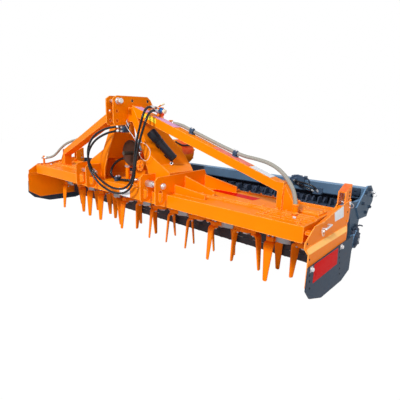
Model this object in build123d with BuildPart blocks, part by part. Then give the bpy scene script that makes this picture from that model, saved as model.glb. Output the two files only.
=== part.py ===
"""Power harrow, 3.5 m working width, with three-point headstock and toothed packer roller.

Millimetres, +Z up, +X to the machine's right end, -Y towards the tractor.
The origin is on the ground in the middle of the machine's length and width.
The machine stands on its tine tips and on its roller.
"""

import os
from math import atan, atan2, cos, pi, radians, sin, tan

from build123d import *

# Overall reach, from which the origin follows
front_reach = 515.0           # lower link plates in front of the rotor line
rear_reach = 886.0            # roller end plates behind the rotor line
rotor_y = (front_reach - rear_reach) / 2
seat_gap = 0.3                # clearance between pieces that only rest on each other

# Rotors and their tines
rotor_count = 14
rotor_pitch = 250.0
tip_radius = 140.0
first_phase = 97.0            # direction of the first rotor's tines, degrees from +X
phase_sums = (68.5, 98.7)     # neighbouring rotors' directions add up to these in turn
tine_widths = (80.0, 32.0)    # along the turn, at the holder and at the tip
tine_thickness = 15.0
tine_tip_thickness = 11.0
tine_bend = 30.0              # height over which a tine turns from its seat to its blade
tip_corner_cut = 9.0
holder_bottom = 300.0
holder_top = 338.0
holder_reach = 100.0
holder_width = 60.0
holder_hub_radius = 62.0
rotor_shaft_radius = 39.5
shaft_clearance = 0.5

# Gear trough with the front beam
end_margin = 15.0             # from the outer half pitch to the trough's end
half_length = rotor_count * rotor_pitch / 2 + end_margin
trough_half_width = 150.0
trough_bottom = 390.0
beam_bottom = 461.0
beam_top = 565.0
beam_front = 390.0            # front face of the beam ahead of the rotor line
plate_wall = 8.0
cover_thickness = 8.0
cover_front = 205.0
cover_rear = 175.0
ridge_height = 10.0
ridge_width = 16.0
bearing_bottom = 360.0
bearing_radius = 90.0
guard_width = 115.0
guard_bottom = 325.0
guard_front = 124.0
guard_crown = 22.0            # how far the middle of a guard stands ahead of its ends
guard_thickness = 10.0

# Headstock and top link bracket
leg_top = (125.0, 1252.0)     # outer line of the right leg, X and Z
leg_knee = (349.0, 858.0)
leg_foot = (390.0, 776.0)
leg_shoulder = (583.0, 737.0)
leg_front = 351.0
leg_sheet = 12.0
leg_rear_edge = ((74.0, 1067.0), (-6.0, 931.0), (-65.0, 836.0), (-82.0, 765.0))   # ahead, Z
cap_rear = 190.0
flange_low = 1130.0           # lower edge of the flange beside the top link bracket
flange_waist = (262.0, leg_knee[1])
flange_ankle = (331.0, 672.0)
leg_rear_low = 82.0
foot_rear = 72.0              # rear corner of the foot at the link plate, ahead of the rotor line
plate_rear = -98.0            # rear end of the outer link plate
link_plate = 12.0
top_plate_inner = 44.0
top_pin_z = 1300.0
top_pin_y = 462.0
top_hole_z = (1216.0, 1136.0)
top_hole_y = 470.0
top_hole_radius = 13.0
rear_holes = ((134.0, 1315.0), (309.0, 1310.0))   # ahead, Z
cross_plate_low = 1110.0
top_plate_rows = ((508.0, 1118.0), (508.0, 1318.0), (470.0, 1344.0), (137.0, 1354.0), (101.0, 1327.0),
                  (70.0, 1275.0), (70.0, 1258.0), (190.0, 1180.0), (339.0, 1106.0), (490.0, 1096.0))
hose_tab = (8.0, 74.0, 1028.0)   # left and right edges and lower end of the tab for the hose block
top_pin_radius = 15.0
top_pin_reach = 95.0          # left end of the pin from the machine's middle
top_head_radius = 22.0
top_head_length = 48.0

# Lower link brackets
link_outer = 583.0
link_inner = 402.0
link_pin_y = 440.0
link_pin_z = 642.0
link_pin_radius = 18.0
collar_radius = 28.0
collar_length = 75.0
pin_tail = 52.0               # how far a pin stands out inside the inner plate
pin_disc_radius = 25.0
pin_disc_thickness = 14.0
rib_table = (                 # ahead of the rotor line, root height, reach, end height
    (300.0, 637.0, 325.0, 40.0),
    (180.0, 700.0, 322.0, 40.0),
    (-90.0, 689.0, 350.0, 55.0),
)

# Braces from the headstock to the beam's ends
brace_start = (150.0, 355.0, 1255.0)   # X, ahead of the rotor line, Z of the upper front edge
brace_end = (half_length - 312.0, 178.0, 770.0)
brace_depth = 100.0
brace_height = 80.0
post_width = 50.0
post_gusset = 75.0
post_gusset_height = 72.0
post_gusset_depth = 80.0

# Gearbox and input shaft
shaft_z = 850.0
shaft_radius = 17.46
shaft_front = 372.0
journal_radius = 25.0
journal_front = 266.0
gearbox_half = 140.0
gearbox_front = 190.0
gearbox_rear = 210.0
gearbox_top = 930.0
housing_radius = 82.0
housing_front = 262.0
boss_place = (144.0, 750.0)
boss_radius = 50.0
boss_front = 300.0
shield_radius = 118.0
shield_front = 330.0
shield_wall = 4.0
drum_radius = 130.0
drum_z = 835.0
drum_rear = 450.0

# Side plates with their depth posts
panel_gap = 47.0
panel_step = 27.0
panel_upper = half_length + panel_gap   # inner face of the upper panel
panel_lower = panel_upper + panel_step  # inner face of the lower panel
panel_sheet = 6.0
fold_upper = 462.0
fold_lower = 432.0
panel_front = 470.0
deflector_sheet = 8.0
post_front = -150.0           # depth posts, ahead of the rotor line, so behind it
post_rear = -262.0
post_span = 55.0
post_inner = panel_upper - post_span
post_wall = 8.0
post_toe = -80.0
post_top_front = 709.0
post_top_rear = 752.0
depth_pin_radius = 9.0
depth_pin_y = -226.0
depth_pin_z = 622.0
pin_row_pitch = 26.0

# Levelling bar between the rotors and the roller
level_front = -142.5          # front of its sheet, ahead of the rotor line, so behind it
level_sheet = 4.0
level_wear = 2.5              # how far the wear strip stands out at the foot
level_bottom = 126.0
level_wear_top = 185.0
level_top = 335.0
level_straps = (-4.0 * rotor_pitch, 0.0, 4.0 * rotor_pitch)
level_strap_width = 60.0

# Roller and its frame
roller_y = -490.0             # ahead of the rotor line, so behind it
roller_radius = 290.0
drum_shell = 236.0
drum_wall = 8.0
roller_inset = 10.0
roller_half = half_length - roller_inset
ring_pitch = 100.0
ring_thickness = 12.0
ring_teeth = 12
axle_radius = 25.0
arm_gap = 7.0
arm_inner = half_length + arm_gap
arm_thickness = 24.0
arm_pivot = (210.0, 500.0)
pivot_radius = 24.0
pivot_eye = 46.0
end_sheet = 10.0
bearing_flange = 72.0
bearing_reach = 30.0
roller_beam_front = -640.0
roller_beam_depth = 100.0
roller_beam_z = (583.0, 672.0)
scraper_width = 76.0
scraper_gap = 6.0
valve_span = (1168.0, 1292.0)
junction_span = (1392.0, 1462.0)

# Document tube: axis as (X, ahead of the rotor line, Z) of its upper and lower end
document_axis = ((291.6, 308.3, 1060.1), (424.8, 148.7, 825.8))
document_radius = 37.0
document_cap = 42.0

# Hoses and conduits; the rows give X, the distance ahead of the rotor line, and Z
hose_radius = 10.0
centre_hose_radius = 12.0
conduit_radius = 14.0
roller_hose_radius = 8.0
arc_share = 0.45              # part of the shorter neighbouring run that an arc takes up
hose_one_rows = (
    (302, 290, 1254), (312, 330, 1259), (319, 368, 1247), (327, 400, 1218), (333, 422, 1179),
    (325, 432, 1134), (302, 436, 1068), (276, 438, 986), (258, 440, 894), (248, 443, 792),
    (229, 442, 690), (196, 449, 610), (125, 456, 555), (20, 463, 533), (-95, 471, 545),
    (-210, 480, 586), (-310, 489, 650), (-372, 497, 735), (-388, 500, 832), (-364, 490, 925),
    (-302, 470, 1000), (-215, 440, 1050), (-115, 412, 1078), (-30, 392, 1085))
hose_two_rows = (
    (352, 290, 1226), (359, 330, 1230), (365, 368, 1216), (371, 400, 1187), (376, 424, 1148),
    (367, 436, 1102), (338, 442, 1030), (309, 446, 947), (283, 449, 855), (267, 452, 752),
    (258, 458, 655), (222, 466, 575), (148, 473, 520), (40, 480, 499), (-75, 487, 508),
    (-185, 501, 548), (-280, 512, 615), (-338, 520, 700), (-350, 522, 795), (-325, 512, 880),
    (-270, 486, 955), (-190, 450, 1008), (-100, 415, 1040), (-30, 392, 1050))
centre_hose_rows = (
    (-132, 240, 790), (-184, 246, 780), (-239, 254, 758), (-289, 264, 722), (-320, 276, 677),
    (-321, 290, 632), (-291, 300, 599), (-234, 304, 581), (-166, 300, 580), (-111, 288, 583),
    (-52, 262, 583), (-19, 240, 588))
conduit_right_rows = (
    (440, 188, 1130), (540, 200, 1126), (654, 205.7, 1087.9), (1110, 143.8, 918.2), (1260, 148, 905),
    (1385, 160, 885), (1490, 178, 838), (1562, 192, 770), (1604, 200, 700), (1613, 202, 640))
conduit_left_rows = (
    (-440, 188, 1130), (-540, 200, 1126), (-654, 205.7, 1087.9), (-1110, 143.8, 918.2), (-1240, 155, 892),
    (-1372, 182, 850), (-1472, 203, 790), (-1560, 226, 708), (-1630, 256, 660), (-1705, 285, 650))
roller_hose_one_rows = (
    (1200, -611, 662), (1216, -594, 663), (1256, -586, 661), (1312, -585, 656), (1368, -588, 648),
    (1414, -596, 626), (1434, -602, 592))
roller_hose_two_rows = (
    (1240, -611, 644), (1256, -598, 641), (1290, -591, 632), (1338, -589, 618), (1378, -594, 606),
    (1396, -601, 592))
bracket_span = (150.0, 262.0)   # along the brace
bracket_depth = 88.0            # behind the brace's front face
bracket_height = 84.0
bracket_sheet = 10.0
coupling_radius = 15.0
coupling_length = 84.0
fitting_radius = 13.0
fitting_length = 60.0
hose_block = (20.0, 70.0, 1032.0, 1095.0, 418.0)   # left, right, low, high, front face
column_place = (-113.0, 240.0)
clamp_places = (530.0, 930.0)   # along the brace
clamp_length = 36.0
gland_along = 282.0
clamp_size = 50.0


def back(ahead):
    """Y of a place given by its distance ahead of the rotor line."""
    return rotor_y - ahead


def facing(y):
    """Plane that faces the tractor, with local axes X and Z."""
    return Plane(origin=(0, y, 0), x_dir=(1, 0, 0), z_dir=(0, -1, 0))


def sideways(x):
    """Plane that faces +X, with local axes Y and Z."""
    return Plane(origin=(x, 0, 0), x_dir=(0, 1, 0), z_dir=(1, 0, 0))


def strip(points, thickness):
    """Closed outline of a sheet that follows the points and lies to their right-hand side."""
    shifted = []
    for i, (px, pz) in enumerate(points):
        headings = []
        if i > 0:
            headings.append(atan2(pz - points[i - 1][1], px - points[i - 1][0]))
        if i < len(points) - 1:
            headings.append(atan2(points[i + 1][1] - pz, points[i + 1][0] - px))
        middle = sum(headings) / len(headings)
        reach = thickness / cos((headings[-1] - headings[0]) / 2)
        shifted.append((px + reach * sin(middle), pz - reach * cos(middle)))
    return list(points) + shifted[::-1]


def side_outline(rows):
    """Points on a sideways plane from rows of (ahead of the rotor line, Z)."""
    return [(back(ahead), z) for ahead, z in rows]


def place(x, ahead, z):
    """Point in the shared frame from a row of a route table."""
    return Vector(x, back(ahead), z)


def tube_along(name, radius, rows, report=True):
    """Round tube along straight runs joined by arcs as large as the runs allow."""
    points = [place(*row) for row in rows]
    radii = []
    for before, corner, after in zip(points, points[1:], points[2:]):
        shorter = min((corner - before).length, (after - corner).length)
        turn = radians((corner - before).get_angle(after - corner))
        radii.append(arc_share * shorter / tan(turn / 2))
    path = FilletPolyline(*points, radius=radii, mode=Mode.PRIVATE)
    with BuildPart() as tube:
        with BuildSketch(Plane(origin=points[0], z_dir=points[1] - points[0])):
            Circle(radius)
        sweep(path=path)
    if report:
        print(name, "radii", [round(r) for r in radii], "volume over section times length",
              round(tube.part.volume / (pi * radius ** 2 * path.length), 4))
    return tube.part


def save(builder, name):
    """Label a finished piece and write it."""
    builder.part.label = name
    export_step(builder.part, f"parts/{name}.step")


def save_mirrored(builder, name):
    """Write the left-hand twin of a right-hand piece."""
    with BuildPart() as twin:
        mirror(builder.part, about=Plane.YZ)
    save(twin, name)


os.makedirs("parts", exist_ok=True)

rotor_places = [rotor_pitch * (k - (rotor_count - 1) / 2) for k in range(rotor_count)]

# Gear trough: an open box over the rotors, with the front beam and both end plates
with BuildPart() as trough:
    outer = side_outline([(beam_front, beam_bottom), (beam_front, beam_top),
                          (-trough_half_width, beam_top), (-trough_half_width, trough_bottom),
                          (trough_half_width, trough_bottom), (trough_half_width, beam_bottom)])
    with BuildSketch(sideways(-half_length)):
        Polygon(*outer, align=None)
    extrude(amount=2 * half_length)
    inside = half_length - plate_wall
    with BuildSketch(sideways(-inside)):
        with Locations((back((beam_front + trough_half_width) / 2), (beam_bottom + beam_top) / 2)):
            Rectangle(beam_front - trough_half_width - 2 * plate_wall,
                      beam_top - beam_bottom - 2 * plate_wall)
        with Locations((rotor_y, (trough_bottom + plate_wall + beam_top) / 2)):
            Rectangle(2 * (trough_half_width - plate_wall), beam_top - trough_bottom - plate_wall)
    extrude(amount=2 * inside, mode=Mode.SUBTRACT)
    # Pivot stubs of the roller arms, and distance blocks that carry the side plates
    for side in (-1, 1):
        face = sideways(side * half_length)
        reach = side * (panel_upper - half_length)
        with BuildSketch(face):
            with Locations((back(arm_pivot[0]), arm_pivot[1])):
                Circle(pivot_radius)
            with Locations((back(340.0), 520.0), (back(80.0), 402.0)):
                Rectangle(50.0, 20.0)
        extrude(amount=reach)
save(trough, "trough")

# Cover of the trough: a flat plate with pressed ridges along it
with BuildPart() as trough_cover:
    with BuildSketch(Plane.XY.offset(beam_top)):
        with Locations((0, back((cover_front - cover_rear) / 2))):
            Rectangle(2 * half_length, cover_front + cover_rear)
    extrude(amount=cover_thickness)
    ridge_start = link_outer + link_plate + 20.0
    ridge_length = half_length - 20.0 - ridge_start
    with BuildSketch(Plane.XY.offset(beam_top + cover_thickness)):
        for side in (-1, 1):
            for ahead in (cover_front - ridge_width, ridge_width - cover_rear):
                with Locations((side * (ridge_start + ridge_length / 2), back(ahead))):
                    Rectangle(ridge_length, ridge_width)
    extrude(amount=ridge_height)
save(trough_cover, "trough_cover")
deck = beam_top + cover_thickness

# Bearing housings under the trough
with BuildPart() as bearing_housings:
    with BuildSketch(Plane.XY.offset(bearing_bottom)):
        for x in rotor_places:
            with Locations((x, rotor_y)):
                Circle(bearing_radius)
                Circle(rotor_shaft_radius + shaft_clearance, mode=Mode.SUBTRACT)
    extrude(amount=trough_bottom - bearing_bottom)
save(bearing_housings, "bearing_housings")

# Stone guards in every second gap between the rotors
with BuildPart() as stone_guards:
    guard_end = guard_front - guard_crown
    with BuildSketch(Plane.XY.offset(guard_bottom)):
        for k in range(0, rotor_count, 2):
            middle = rotor_places[k] + rotor_pitch / 2
            left, right = middle - guard_width / 2, middle + guard_width / 2
            with BuildLine():
                ThreePointArc((left, back(guard_end)), (middle, back(guard_front)), (right, back(guard_end)))
                Line((right, back(guard_end)), (right, back(guard_end - guard_thickness)))
                ThreePointArc((right, back(guard_end - guard_thickness)),
                              (middle, back(guard_front - guard_thickness)),
                              (left, back(guard_end - guard_thickness)))
                Line((left, back(guard_end - guard_thickness)), (left, back(guard_end)))
            make_face()
    extrude(amount=trough_bottom - guard_bottom)
save(stone_guards, "stone_guards")

# One tine: a flat seat under the holder that bends down into a tapered blade
blade_root = tip_radius - 21.0
with BuildPart() as blade:
    with BuildSketch(Plane(origin=(0, 0, 0), x_dir=(1, 0, 0), z_dir=(0, -1, 0))):
        Polygon((holder_reach - 38.0, holder_bottom), (holder_reach - 8.0, holder_bottom),
                (blade_root - 9.0, holder_bottom - 0.4 * tine_bend), (blade_root, holder_bottom - tine_bend),
                (tip_radius, 0), (tip_radius - tine_tip_thickness, 0),
                (blade_root - tine_thickness, holder_bottom - tine_bend - 6.0),
                (holder_reach - 12.0, holder_bottom - tine_thickness),
                (holder_reach - 38.0, holder_bottom - tine_thickness), align=None)
    extrude(amount=tine_widths[0], both=True)
    root, tip = tine_widths[0] / 2, tine_widths[1] / 2
    with BuildSketch(Plane(origin=(0, 0, 0), x_dir=(0, 1, 0), z_dir=(1, 0, 0))):
        Polygon((-root, holder_bottom), (-root, holder_bottom - tine_bend), (-tip, tip_corner_cut),
                (-tip + tip_corner_cut, 0), (tip - tip_corner_cut, 0), (tip, tip_corner_cut),
                (root, holder_bottom - tine_bend), (root, holder_bottom), align=None)
    extrude(amount=tip_radius, mode=Mode.INTERSECT)

# Rotors: shaft end, forged holder and two tines each
phase = first_phase
for k, x in enumerate(rotor_places):
    with BuildPart() as rotor:
        centre = Plane(origin=(x, rotor_y, 0), x_dir=(cos(radians(phase)), sin(radians(phase)), 0),
                       z_dir=(0, 0, 1))
        with BuildSketch(centre.offset(holder_bottom)):
            Rectangle(2 * holder_reach, holder_width)
            Circle(holder_hub_radius)
        extrude(amount=holder_top - holder_bottom)
        with BuildSketch(centre.offset(holder_top)):
            Circle(rotor_shaft_radius)
        extrude(amount=trough_bottom - 2.0 - holder_top)
        with Locations((x, rotor_y, 0)):
            add(blade.part, rotation=(0, 0, phase))
            add(blade.part, rotation=(0, 0, phase + 180.0))
    save(rotor, f"rotor_{k + 1:02d}")
    phase = phase_sums[k % 2] - phase

# Right leg of the headstock: side sheet, front flange and top cap
leg_line = [leg_top, leg_knee, leg_foot, leg_shoulder]
with BuildPart() as headstock_right:
    with BuildSketch(facing(back(leg_front))):
        Polygon(*strip(leg_line, leg_sheet), align=None)
    extrude(amount=-(leg_front + leg_rear_low))
    cut = side_outline([(leg_front, deck), (leg_front, leg_top[1]), (cap_rear, leg_top[1]), *leg_rear_edge,
                        (-leg_rear_low, deck)])
    with BuildSketch(sideways(0)):
        Polygon(*cut, align=None)
    extrude(amount=link_outer, mode=Mode.INTERSECT)
    # The foot's rear edge runs obliquely from the leg to the link plate
    with BuildSketch(Plane.XY.offset(leg_shoulder[1] - 40.0)):
        Polygon((leg_foot[0] + 10.0, back(-leg_rear_low)), (link_outer + 1.0, back(foot_rear)),
                (link_outer + 1.0, back(-leg_rear_low - 1.0)), (leg_foot[0] + 10.0, back(-leg_rear_low - 1.0)),
                align=None)
    extrude(amount=90.0, mode=Mode.SUBTRACT)
    flange_inner = top_plate_inner + link_plate
    flange = [leg_top, leg_knee, (562.0, 746.0), (link_outer, 716.0), (link_outer, beam_top),
              (340.0, beam_top), flange_ankle, flange_waist, (109.0, flange_low),
              (flange_inner, flange_low), (flange_inner, leg_top[1])]
    with BuildSketch(facing(back(leg_front))):
        Polygon(*flange, align=None)
    extrude(amount=-leg_sheet)
    with BuildSketch(facing(back(leg_front))):
        cap_width = leg_top[0] - flange_inner
        with Locations((flange_inner + cap_width / 2, leg_top[1] - leg_sheet / 2)):
            Rectangle(cap_width, leg_sheet)
    extrude(amount=-(leg_front - cap_rear))
save(headstock_right, "headstock_right")
save_mirrored(headstock_right, "headstock_left")

# Top link bracket: two upright plates, the plate between them and a tab below it for the hose block
with BuildPart() as top_link_bracket:
    for start in (-top_plate_inner - link_plate, top_plate_inner):
        with BuildSketch(sideways(start)):
            Polygon(*side_outline(top_plate_rows), align=None)
            with Locations((back(top_pin_y), top_pin_z)):
                Circle(top_pin_radius + seat_gap, mode=Mode.SUBTRACT)
            for hole_z in top_hole_z:
                with Locations((back(top_hole_y), hole_z)):
                    Circle(top_hole_radius, mode=Mode.SUBTRACT)
            for hole_ahead, hole_z in rear_holes:
                with Locations((back(hole_ahead), hole_z)):
                    Circle(top_hole_radius, mode=Mode.SUBTRACT)
        extrude(amount=link_plate)
    with BuildSketch(facing(back(leg_front))):
        with Locations((0, (cross_plate_low + leg_top[1]) / 2)):
            Rectangle(2 * top_plate_inner, leg_top[1] - cross_plate_low)
        tab_left, tab_right, tab_low = hose_tab
        Polygon((tab_left, tab_low), (tab_right, tab_low), (tab_right, cross_plate_low + 10.0),
                (tab_left, cross_plate_low + 10.0), align=None)
    extrude(amount=-leg_sheet)
save(top_link_bracket, "top_link_bracket")

# Top link pin with its head on the right
with BuildPart() as top_link_pin:
    head_start = top_plate_inner + link_plate + seat_gap
    with BuildSketch(sideways(-top_pin_reach)):
        with Locations((back(top_pin_y), top_pin_z)):
            Circle(top_pin_radius)
    extrude(amount=top_pin_reach + head_start)
    with BuildSketch(sideways(head_start)):
        with Locations((back(top_pin_y), top_pin_z)):
            Circle(top_head_radius)
    extrude(amount=top_head_length)
save(top_link_pin, "top_link_pin")

# Right lower link bracket: outer plate along the leg, inner plate, and ribs on the deck
plate_nose = [(beam_front, 535.0), (430.0, 488.0), (500.0, 490.0), (front_reach, 505.0),
              (front_reach, 692.0), (488.0, 716.0)]
outer_rows = [(beam_front, beam_top)] + plate_nose + [(-foot_rear, 737.0), (plate_rear, 689.0),
                                                      (plate_rear, deck), (cover_front, deck),
                                                      (cover_front, beam_top)]
inner_rows = [(beam_front, beam_top)] + plate_nose + [(leg_front, 716.0), (leg_front, beam_top)]
with BuildPart() as lower_link_bracket_right:
    for start, rows in ((link_outer, outer_rows), (link_inner, inner_rows)):
        with BuildSketch(sideways(start)):
            Polygon(*side_outline(rows), align=None)
            with Locations((back(link_pin_y), link_pin_z)):
                Circle(link_pin_radius + seat_gap, mode=Mode.SUBTRACT)
            with Locations((back(460.0), 562.0)):
                SlotOverall(95.0, 40.0, rotation=90, mode=Mode.SUBTRACT)
        extrude(amount=link_plate)
    rib_start = link_outer + link_plate
    for ahead, root_z, reach, end_height in rib_table:
        base = beam_top if ahead > cover_front else deck
        with BuildSketch(facing(back(ahead))):
            Polygon((rib_start, base), (rib_start, root_z), (rib_start + reach, base + end_height),
                    (rib_start + reach, base), align=None)
        extrude(amount=-link_plate if ahead > 0 else link_plate)
save(lower_link_bracket_right, "lower_link_bracket_right")
save_mirrored(lower_link_bracket_right, "lower_link_bracket_left")

# Lower link pins, one on each side, each with a collar and an end disc
with BuildPart() as lower_link_pins:
    inner_face = link_inner + link_plate + seat_gap
    outer_face = link_outer + link_plate + seat_gap
    for side in (-1, 1):
        steps = ((link_inner - pin_tail, outer_face, link_pin_radius),
                 (inner_face, inner_face + collar_length, collar_radius),
                 (outer_face, outer_face + pin_disc_thickness, pin_disc_radius))
        for begin, end, radius in steps:
            with BuildSketch(sideways(side * begin)):
                with Locations((back(link_pin_y), link_pin_z)):
                    Circle(radius)
            extrude(amount=side * (end - begin))
save(lower_link_pins, "lower_link_pins")

# Right brace: sloping tube from the leg to a post near the beam's end
run_x = brace_end[0] - brace_start[0]
run_y = brace_start[1] - brace_end[1]
plan = atan2(run_y, run_x)
brace_plane = Plane(origin=(brace_start[0], back(brace_start[1]), 0), x_dir=(cos(plan), sin(plan), 0),
                    z_dir=(sin(plan), -cos(plan), 0))
length = run_x / cos(plan)
slope = (brace_end[2] - brace_start[2]) / length
with BuildPart() as brace_right:
    with BuildSketch(brace_plane):
        Polygon((-60.0, brace_start[2] - 60.0 * slope), (length, brace_end[2]),
                (length + post_width, brace_end[2]), (length + post_width, brace_end[2] - brace_height),
                (-60.0, brace_start[2] - brace_height - 60.0 * slope), align=None)
    extrude(amount=-brace_depth)
    lean = (leg_knee[0] - leg_top[0]) / (leg_top[1] - leg_knee[1])
    with BuildSketch(facing(back(leg_front) - brace_depth)):
        Polygon((0, leg_top[1] + 100.0), (leg_top[0] - 100.0 * lean, leg_top[1] + 100.0), leg_knee,
                (0, leg_knee[1]), align=None)
    extrude(amount=-3 * brace_depth, mode=Mode.SUBTRACT)
    # Post below the tube, with a gusset towards the end
    with BuildSketch(Plane.XY.offset(deck)):
        with Locations((brace_end[0] + post_width / 2, back(brace_end[1] - brace_depth / 2))):
            Rectangle(post_width - 8.0, brace_depth - 8.0)
    extrude(amount=brace_end[2] - brace_height / 2 - deck)
    with BuildSketch(facing(back(brace_end[1] - 20.0))):
        edge = brace_end[0] + post_width - 4.0
        Polygon((edge, brace_end[2] - 12.0), (edge, deck), (edge + post_gusset, deck),
                (edge + post_gusset, deck + post_gusset_height), align=None)
    extrude(amount=-post_gusset_depth)
save(brace_right, "brace_right")
save_mirrored(brace_right, "brace_left")

# Gearbox on the middle of the cover, with its input bearing housing
with BuildPart() as gearbox:
    with BuildSketch(Plane.XY.offset(deck + ridge_height)):
        with Locations((0, back((gearbox_front - gearbox_rear) / 2))):
            RectangleRounded(2 * gearbox_half, gearbox_front + gearbox_rear, 50.0)
    extrude(amount=gearbox_top - deck - ridge_height)
    chamfer(gearbox.faces().sort_by(Axis.Z)[-1].edges(), 40.0)
    with BuildSketch(Plane.XY.offset(deck)):
        with Locations((0, rotor_y)):
            Rectangle(220.0, 220.0)
    extrude(amount=ridge_height)
    with BuildSketch(facing(back(housing_front))):
        with Locations((0, shaft_z)):
            Circle(housing_radius)
    extrude(amount=-(housing_front - gearbox_front + 40.0))
    with BuildSketch(facing(back(boss_front))):
        with Locations(boss_place):
            Circle(boss_radius)
    extrude(amount=-(boss_front - gearbox_front + 60.0))
    with BuildSketch(facing(back(housing_front))):
        with Locations((0, shaft_z)):
            Circle(journal_radius + seat_gap)
    extrude(amount=-(housing_front - gearbox_front + 30.0), mode=Mode.SUBTRACT)
save(gearbox, "gearbox")

# Round rear cover of the gearbox
with BuildPart() as gearbox_drum:
    with BuildSketch(facing(back(-gearbox_rear))):
        with Locations((0, drum_z)):
            Circle(drum_radius)
    extrude(amount=-(drum_rear - gearbox_rear))
    fillet(gearbox_drum.edges().sort_by(Axis.Y)[-1], 20.0)
save(gearbox_drum, "gearbox_drum")

# Input shaft: bearing journal in the housing, and the free stub that takes the drive shaft
with BuildPart() as input_shaft:
    for begin, end, radius in ((shaft_front, journal_front, shaft_radius),
                               (journal_front, gearbox_front - 20.0, journal_radius)):
        with BuildSketch(facing(back(begin))):
            with Locations((0, shaft_z)):
                Circle(radius)
        extrude(amount=-(begin - end))
save(input_shaft, "input_shaft")

# Shield around the input shaft: a cup open to the front
with BuildPart() as shaft_shield:
    with BuildSketch(facing(back(shield_front))):
        with Locations((0, shaft_z)):
            Circle(shield_radius)
    extrude(amount=-(shield_front - housing_front))
    with BuildSketch(facing(back(shield_front))):
        with Locations((0, shaft_z)):
            Circle(shield_radius - shield_wall)
    extrude(amount=-(shield_front - housing_front - shield_wall), mode=Mode.SUBTRACT)
    with BuildSketch(facing(back(shield_front))):
        with Locations((0, shaft_z)):
            Circle(housing_radius - 20.0)
    extrude(amount=-(shield_front - housing_front), mode=Mode.SUBTRACT)
save(shaft_shield, "shaft_shield")

# Right side plate: folded sheet with the depth post
panel_line = [(panel_lower + panel_sheet, 140.0), (panel_lower + panel_sheet, fold_lower),
              (panel_upper + panel_sheet, fold_upper), (panel_upper + panel_sheet, 700.0)]
panel_rows = [(panel_front, 226.0), (panel_front, 495.0), (350.0, 572.0), (218.0, 572.0),
              (58.0, 603.0), (-143.0, 631.0), (post_rear, 645.0), (post_rear, 500.0), (-240.0, fold_upper),
              (-170.0, fold_lower), (-160.0, 140.0), (335.0, 140.0)]
with BuildPart() as side_plate_right:
    with BuildSketch(facing(back(panel_front))):
        Polygon(*strip(panel_line[::-1], panel_sheet), align=None)
    extrude(amount=-(panel_front - post_rear))
    with BuildSketch(sideways(panel_upper - 20.0)):
        Polygon(*side_outline(panel_rows), align=None)
    extrude(amount=panel_lower - panel_upper + 60.0, mode=Mode.INTERSECT)
    # Depth post: two upright walls joined by a sloping cap, open to the front and the rear
    post_rows = [(post_front, deck), (post_front, post_top_front), (post_rear, post_top_rear),
                 (post_rear, deck)]
    low_rows = [(post_front, 500.0), (post_front, post_top_front), (post_rear, post_top_rear),
                (post_rear, 500.0)]
    for start, rows in ((post_inner, post_rows), (panel_upper - post_wall, low_rows)):
        with BuildSketch(sideways(start)):
            Polygon(*side_outline(rows), align=None)
        extrude(amount=post_wall)
    cap_rows = [(post_front, post_top_front), (post_rear, post_top_rear)]
    with BuildSketch(sideways(post_inner)):
        cap = strip([(back(a), z) for a, z in cap_rows], post_wall)
        Polygon(*cap, align=None)
    extrude(amount=panel_upper - post_inner)
    # Small gusset in front of the post's inner wall
    with BuildSketch(sideways(post_inner)):
        Polygon(*side_outline([(post_toe, deck), (post_front, deck + 47.0), (post_front, deck)]), align=None)
    extrude(amount=post_wall)
    # Holes for the depth pins
    with BuildSketch(sideways(post_inner - 1.0)):
        for row in range(4):
            with Locations((back(depth_pin_y), depth_pin_z + pin_row_pitch * row)):
                Circle(depth_pin_radius + seat_gap)
    extrude(amount=panel_upper + panel_sheet - post_inner + 2.0, mode=Mode.SUBTRACT)
save(side_plate_right, "side_plate_right")
save_mirrored(side_plate_right, "side_plate_left")

# Lower deflector plates, bolted to the outside of the side plates
deflector_rows = [(471.0, 354.0), (477.0, 210.0), (407.0, 138.0), (215.0, 73.0), (-154.0, 64.0),
                  (-307.0, 102.0), (-307.0, 372.0)]
with BuildPart() as side_deflectors:
    for side in (-1, 1):
        with BuildSketch(sideways(side * (panel_lower + panel_sheet))):
            Polygon(*side_outline(deflector_rows), align=None)
        extrude(amount=side * deflector_sheet)
save(side_deflectors, "side_deflectors")

# Levelling bar: an upright sheet between the side plates, with a wear strip and straps to the trough
with BuildPart() as levelling_bar:
    level_back = level_front - level_sheet
    level_rows = [(level_front + level_wear, level_bottom), (level_front + level_wear, level_wear_top),
                  (level_front, level_wear_top), (level_front, level_top), (level_back, level_top),
                  (level_back, level_bottom)]
    with BuildSketch(sideways(-panel_lower)):
        Polygon(*side_outline(level_rows), align=None)
    extrude(amount=2 * panel_lower)
    strap_rows = [(level_front, level_top), (level_front, trough_bottom), (level_back, trough_bottom),
                  (level_back, level_top)]
    with BuildSketch(*[sideways(x - level_strap_width / 2) for x in level_straps]):
        Polygon(*side_outline(strap_rows), align=None)
    extrude(amount=level_strap_width)
save(levelling_bar, "levelling_bar")

# Depth pins through the posts, above the roller arms
with BuildPart() as depth_pins:
    for side in (-1, 1):
        with BuildSketch(sideways(side * (post_inner - 8.0))):
            with Locations((back(depth_pin_y), depth_pin_z)):
                Circle(depth_pin_radius)
        extrude(amount=side * (panel_upper + panel_sheet + 8.0 - post_inner + 6.0))
save(depth_pins, "depth_pins")

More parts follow.
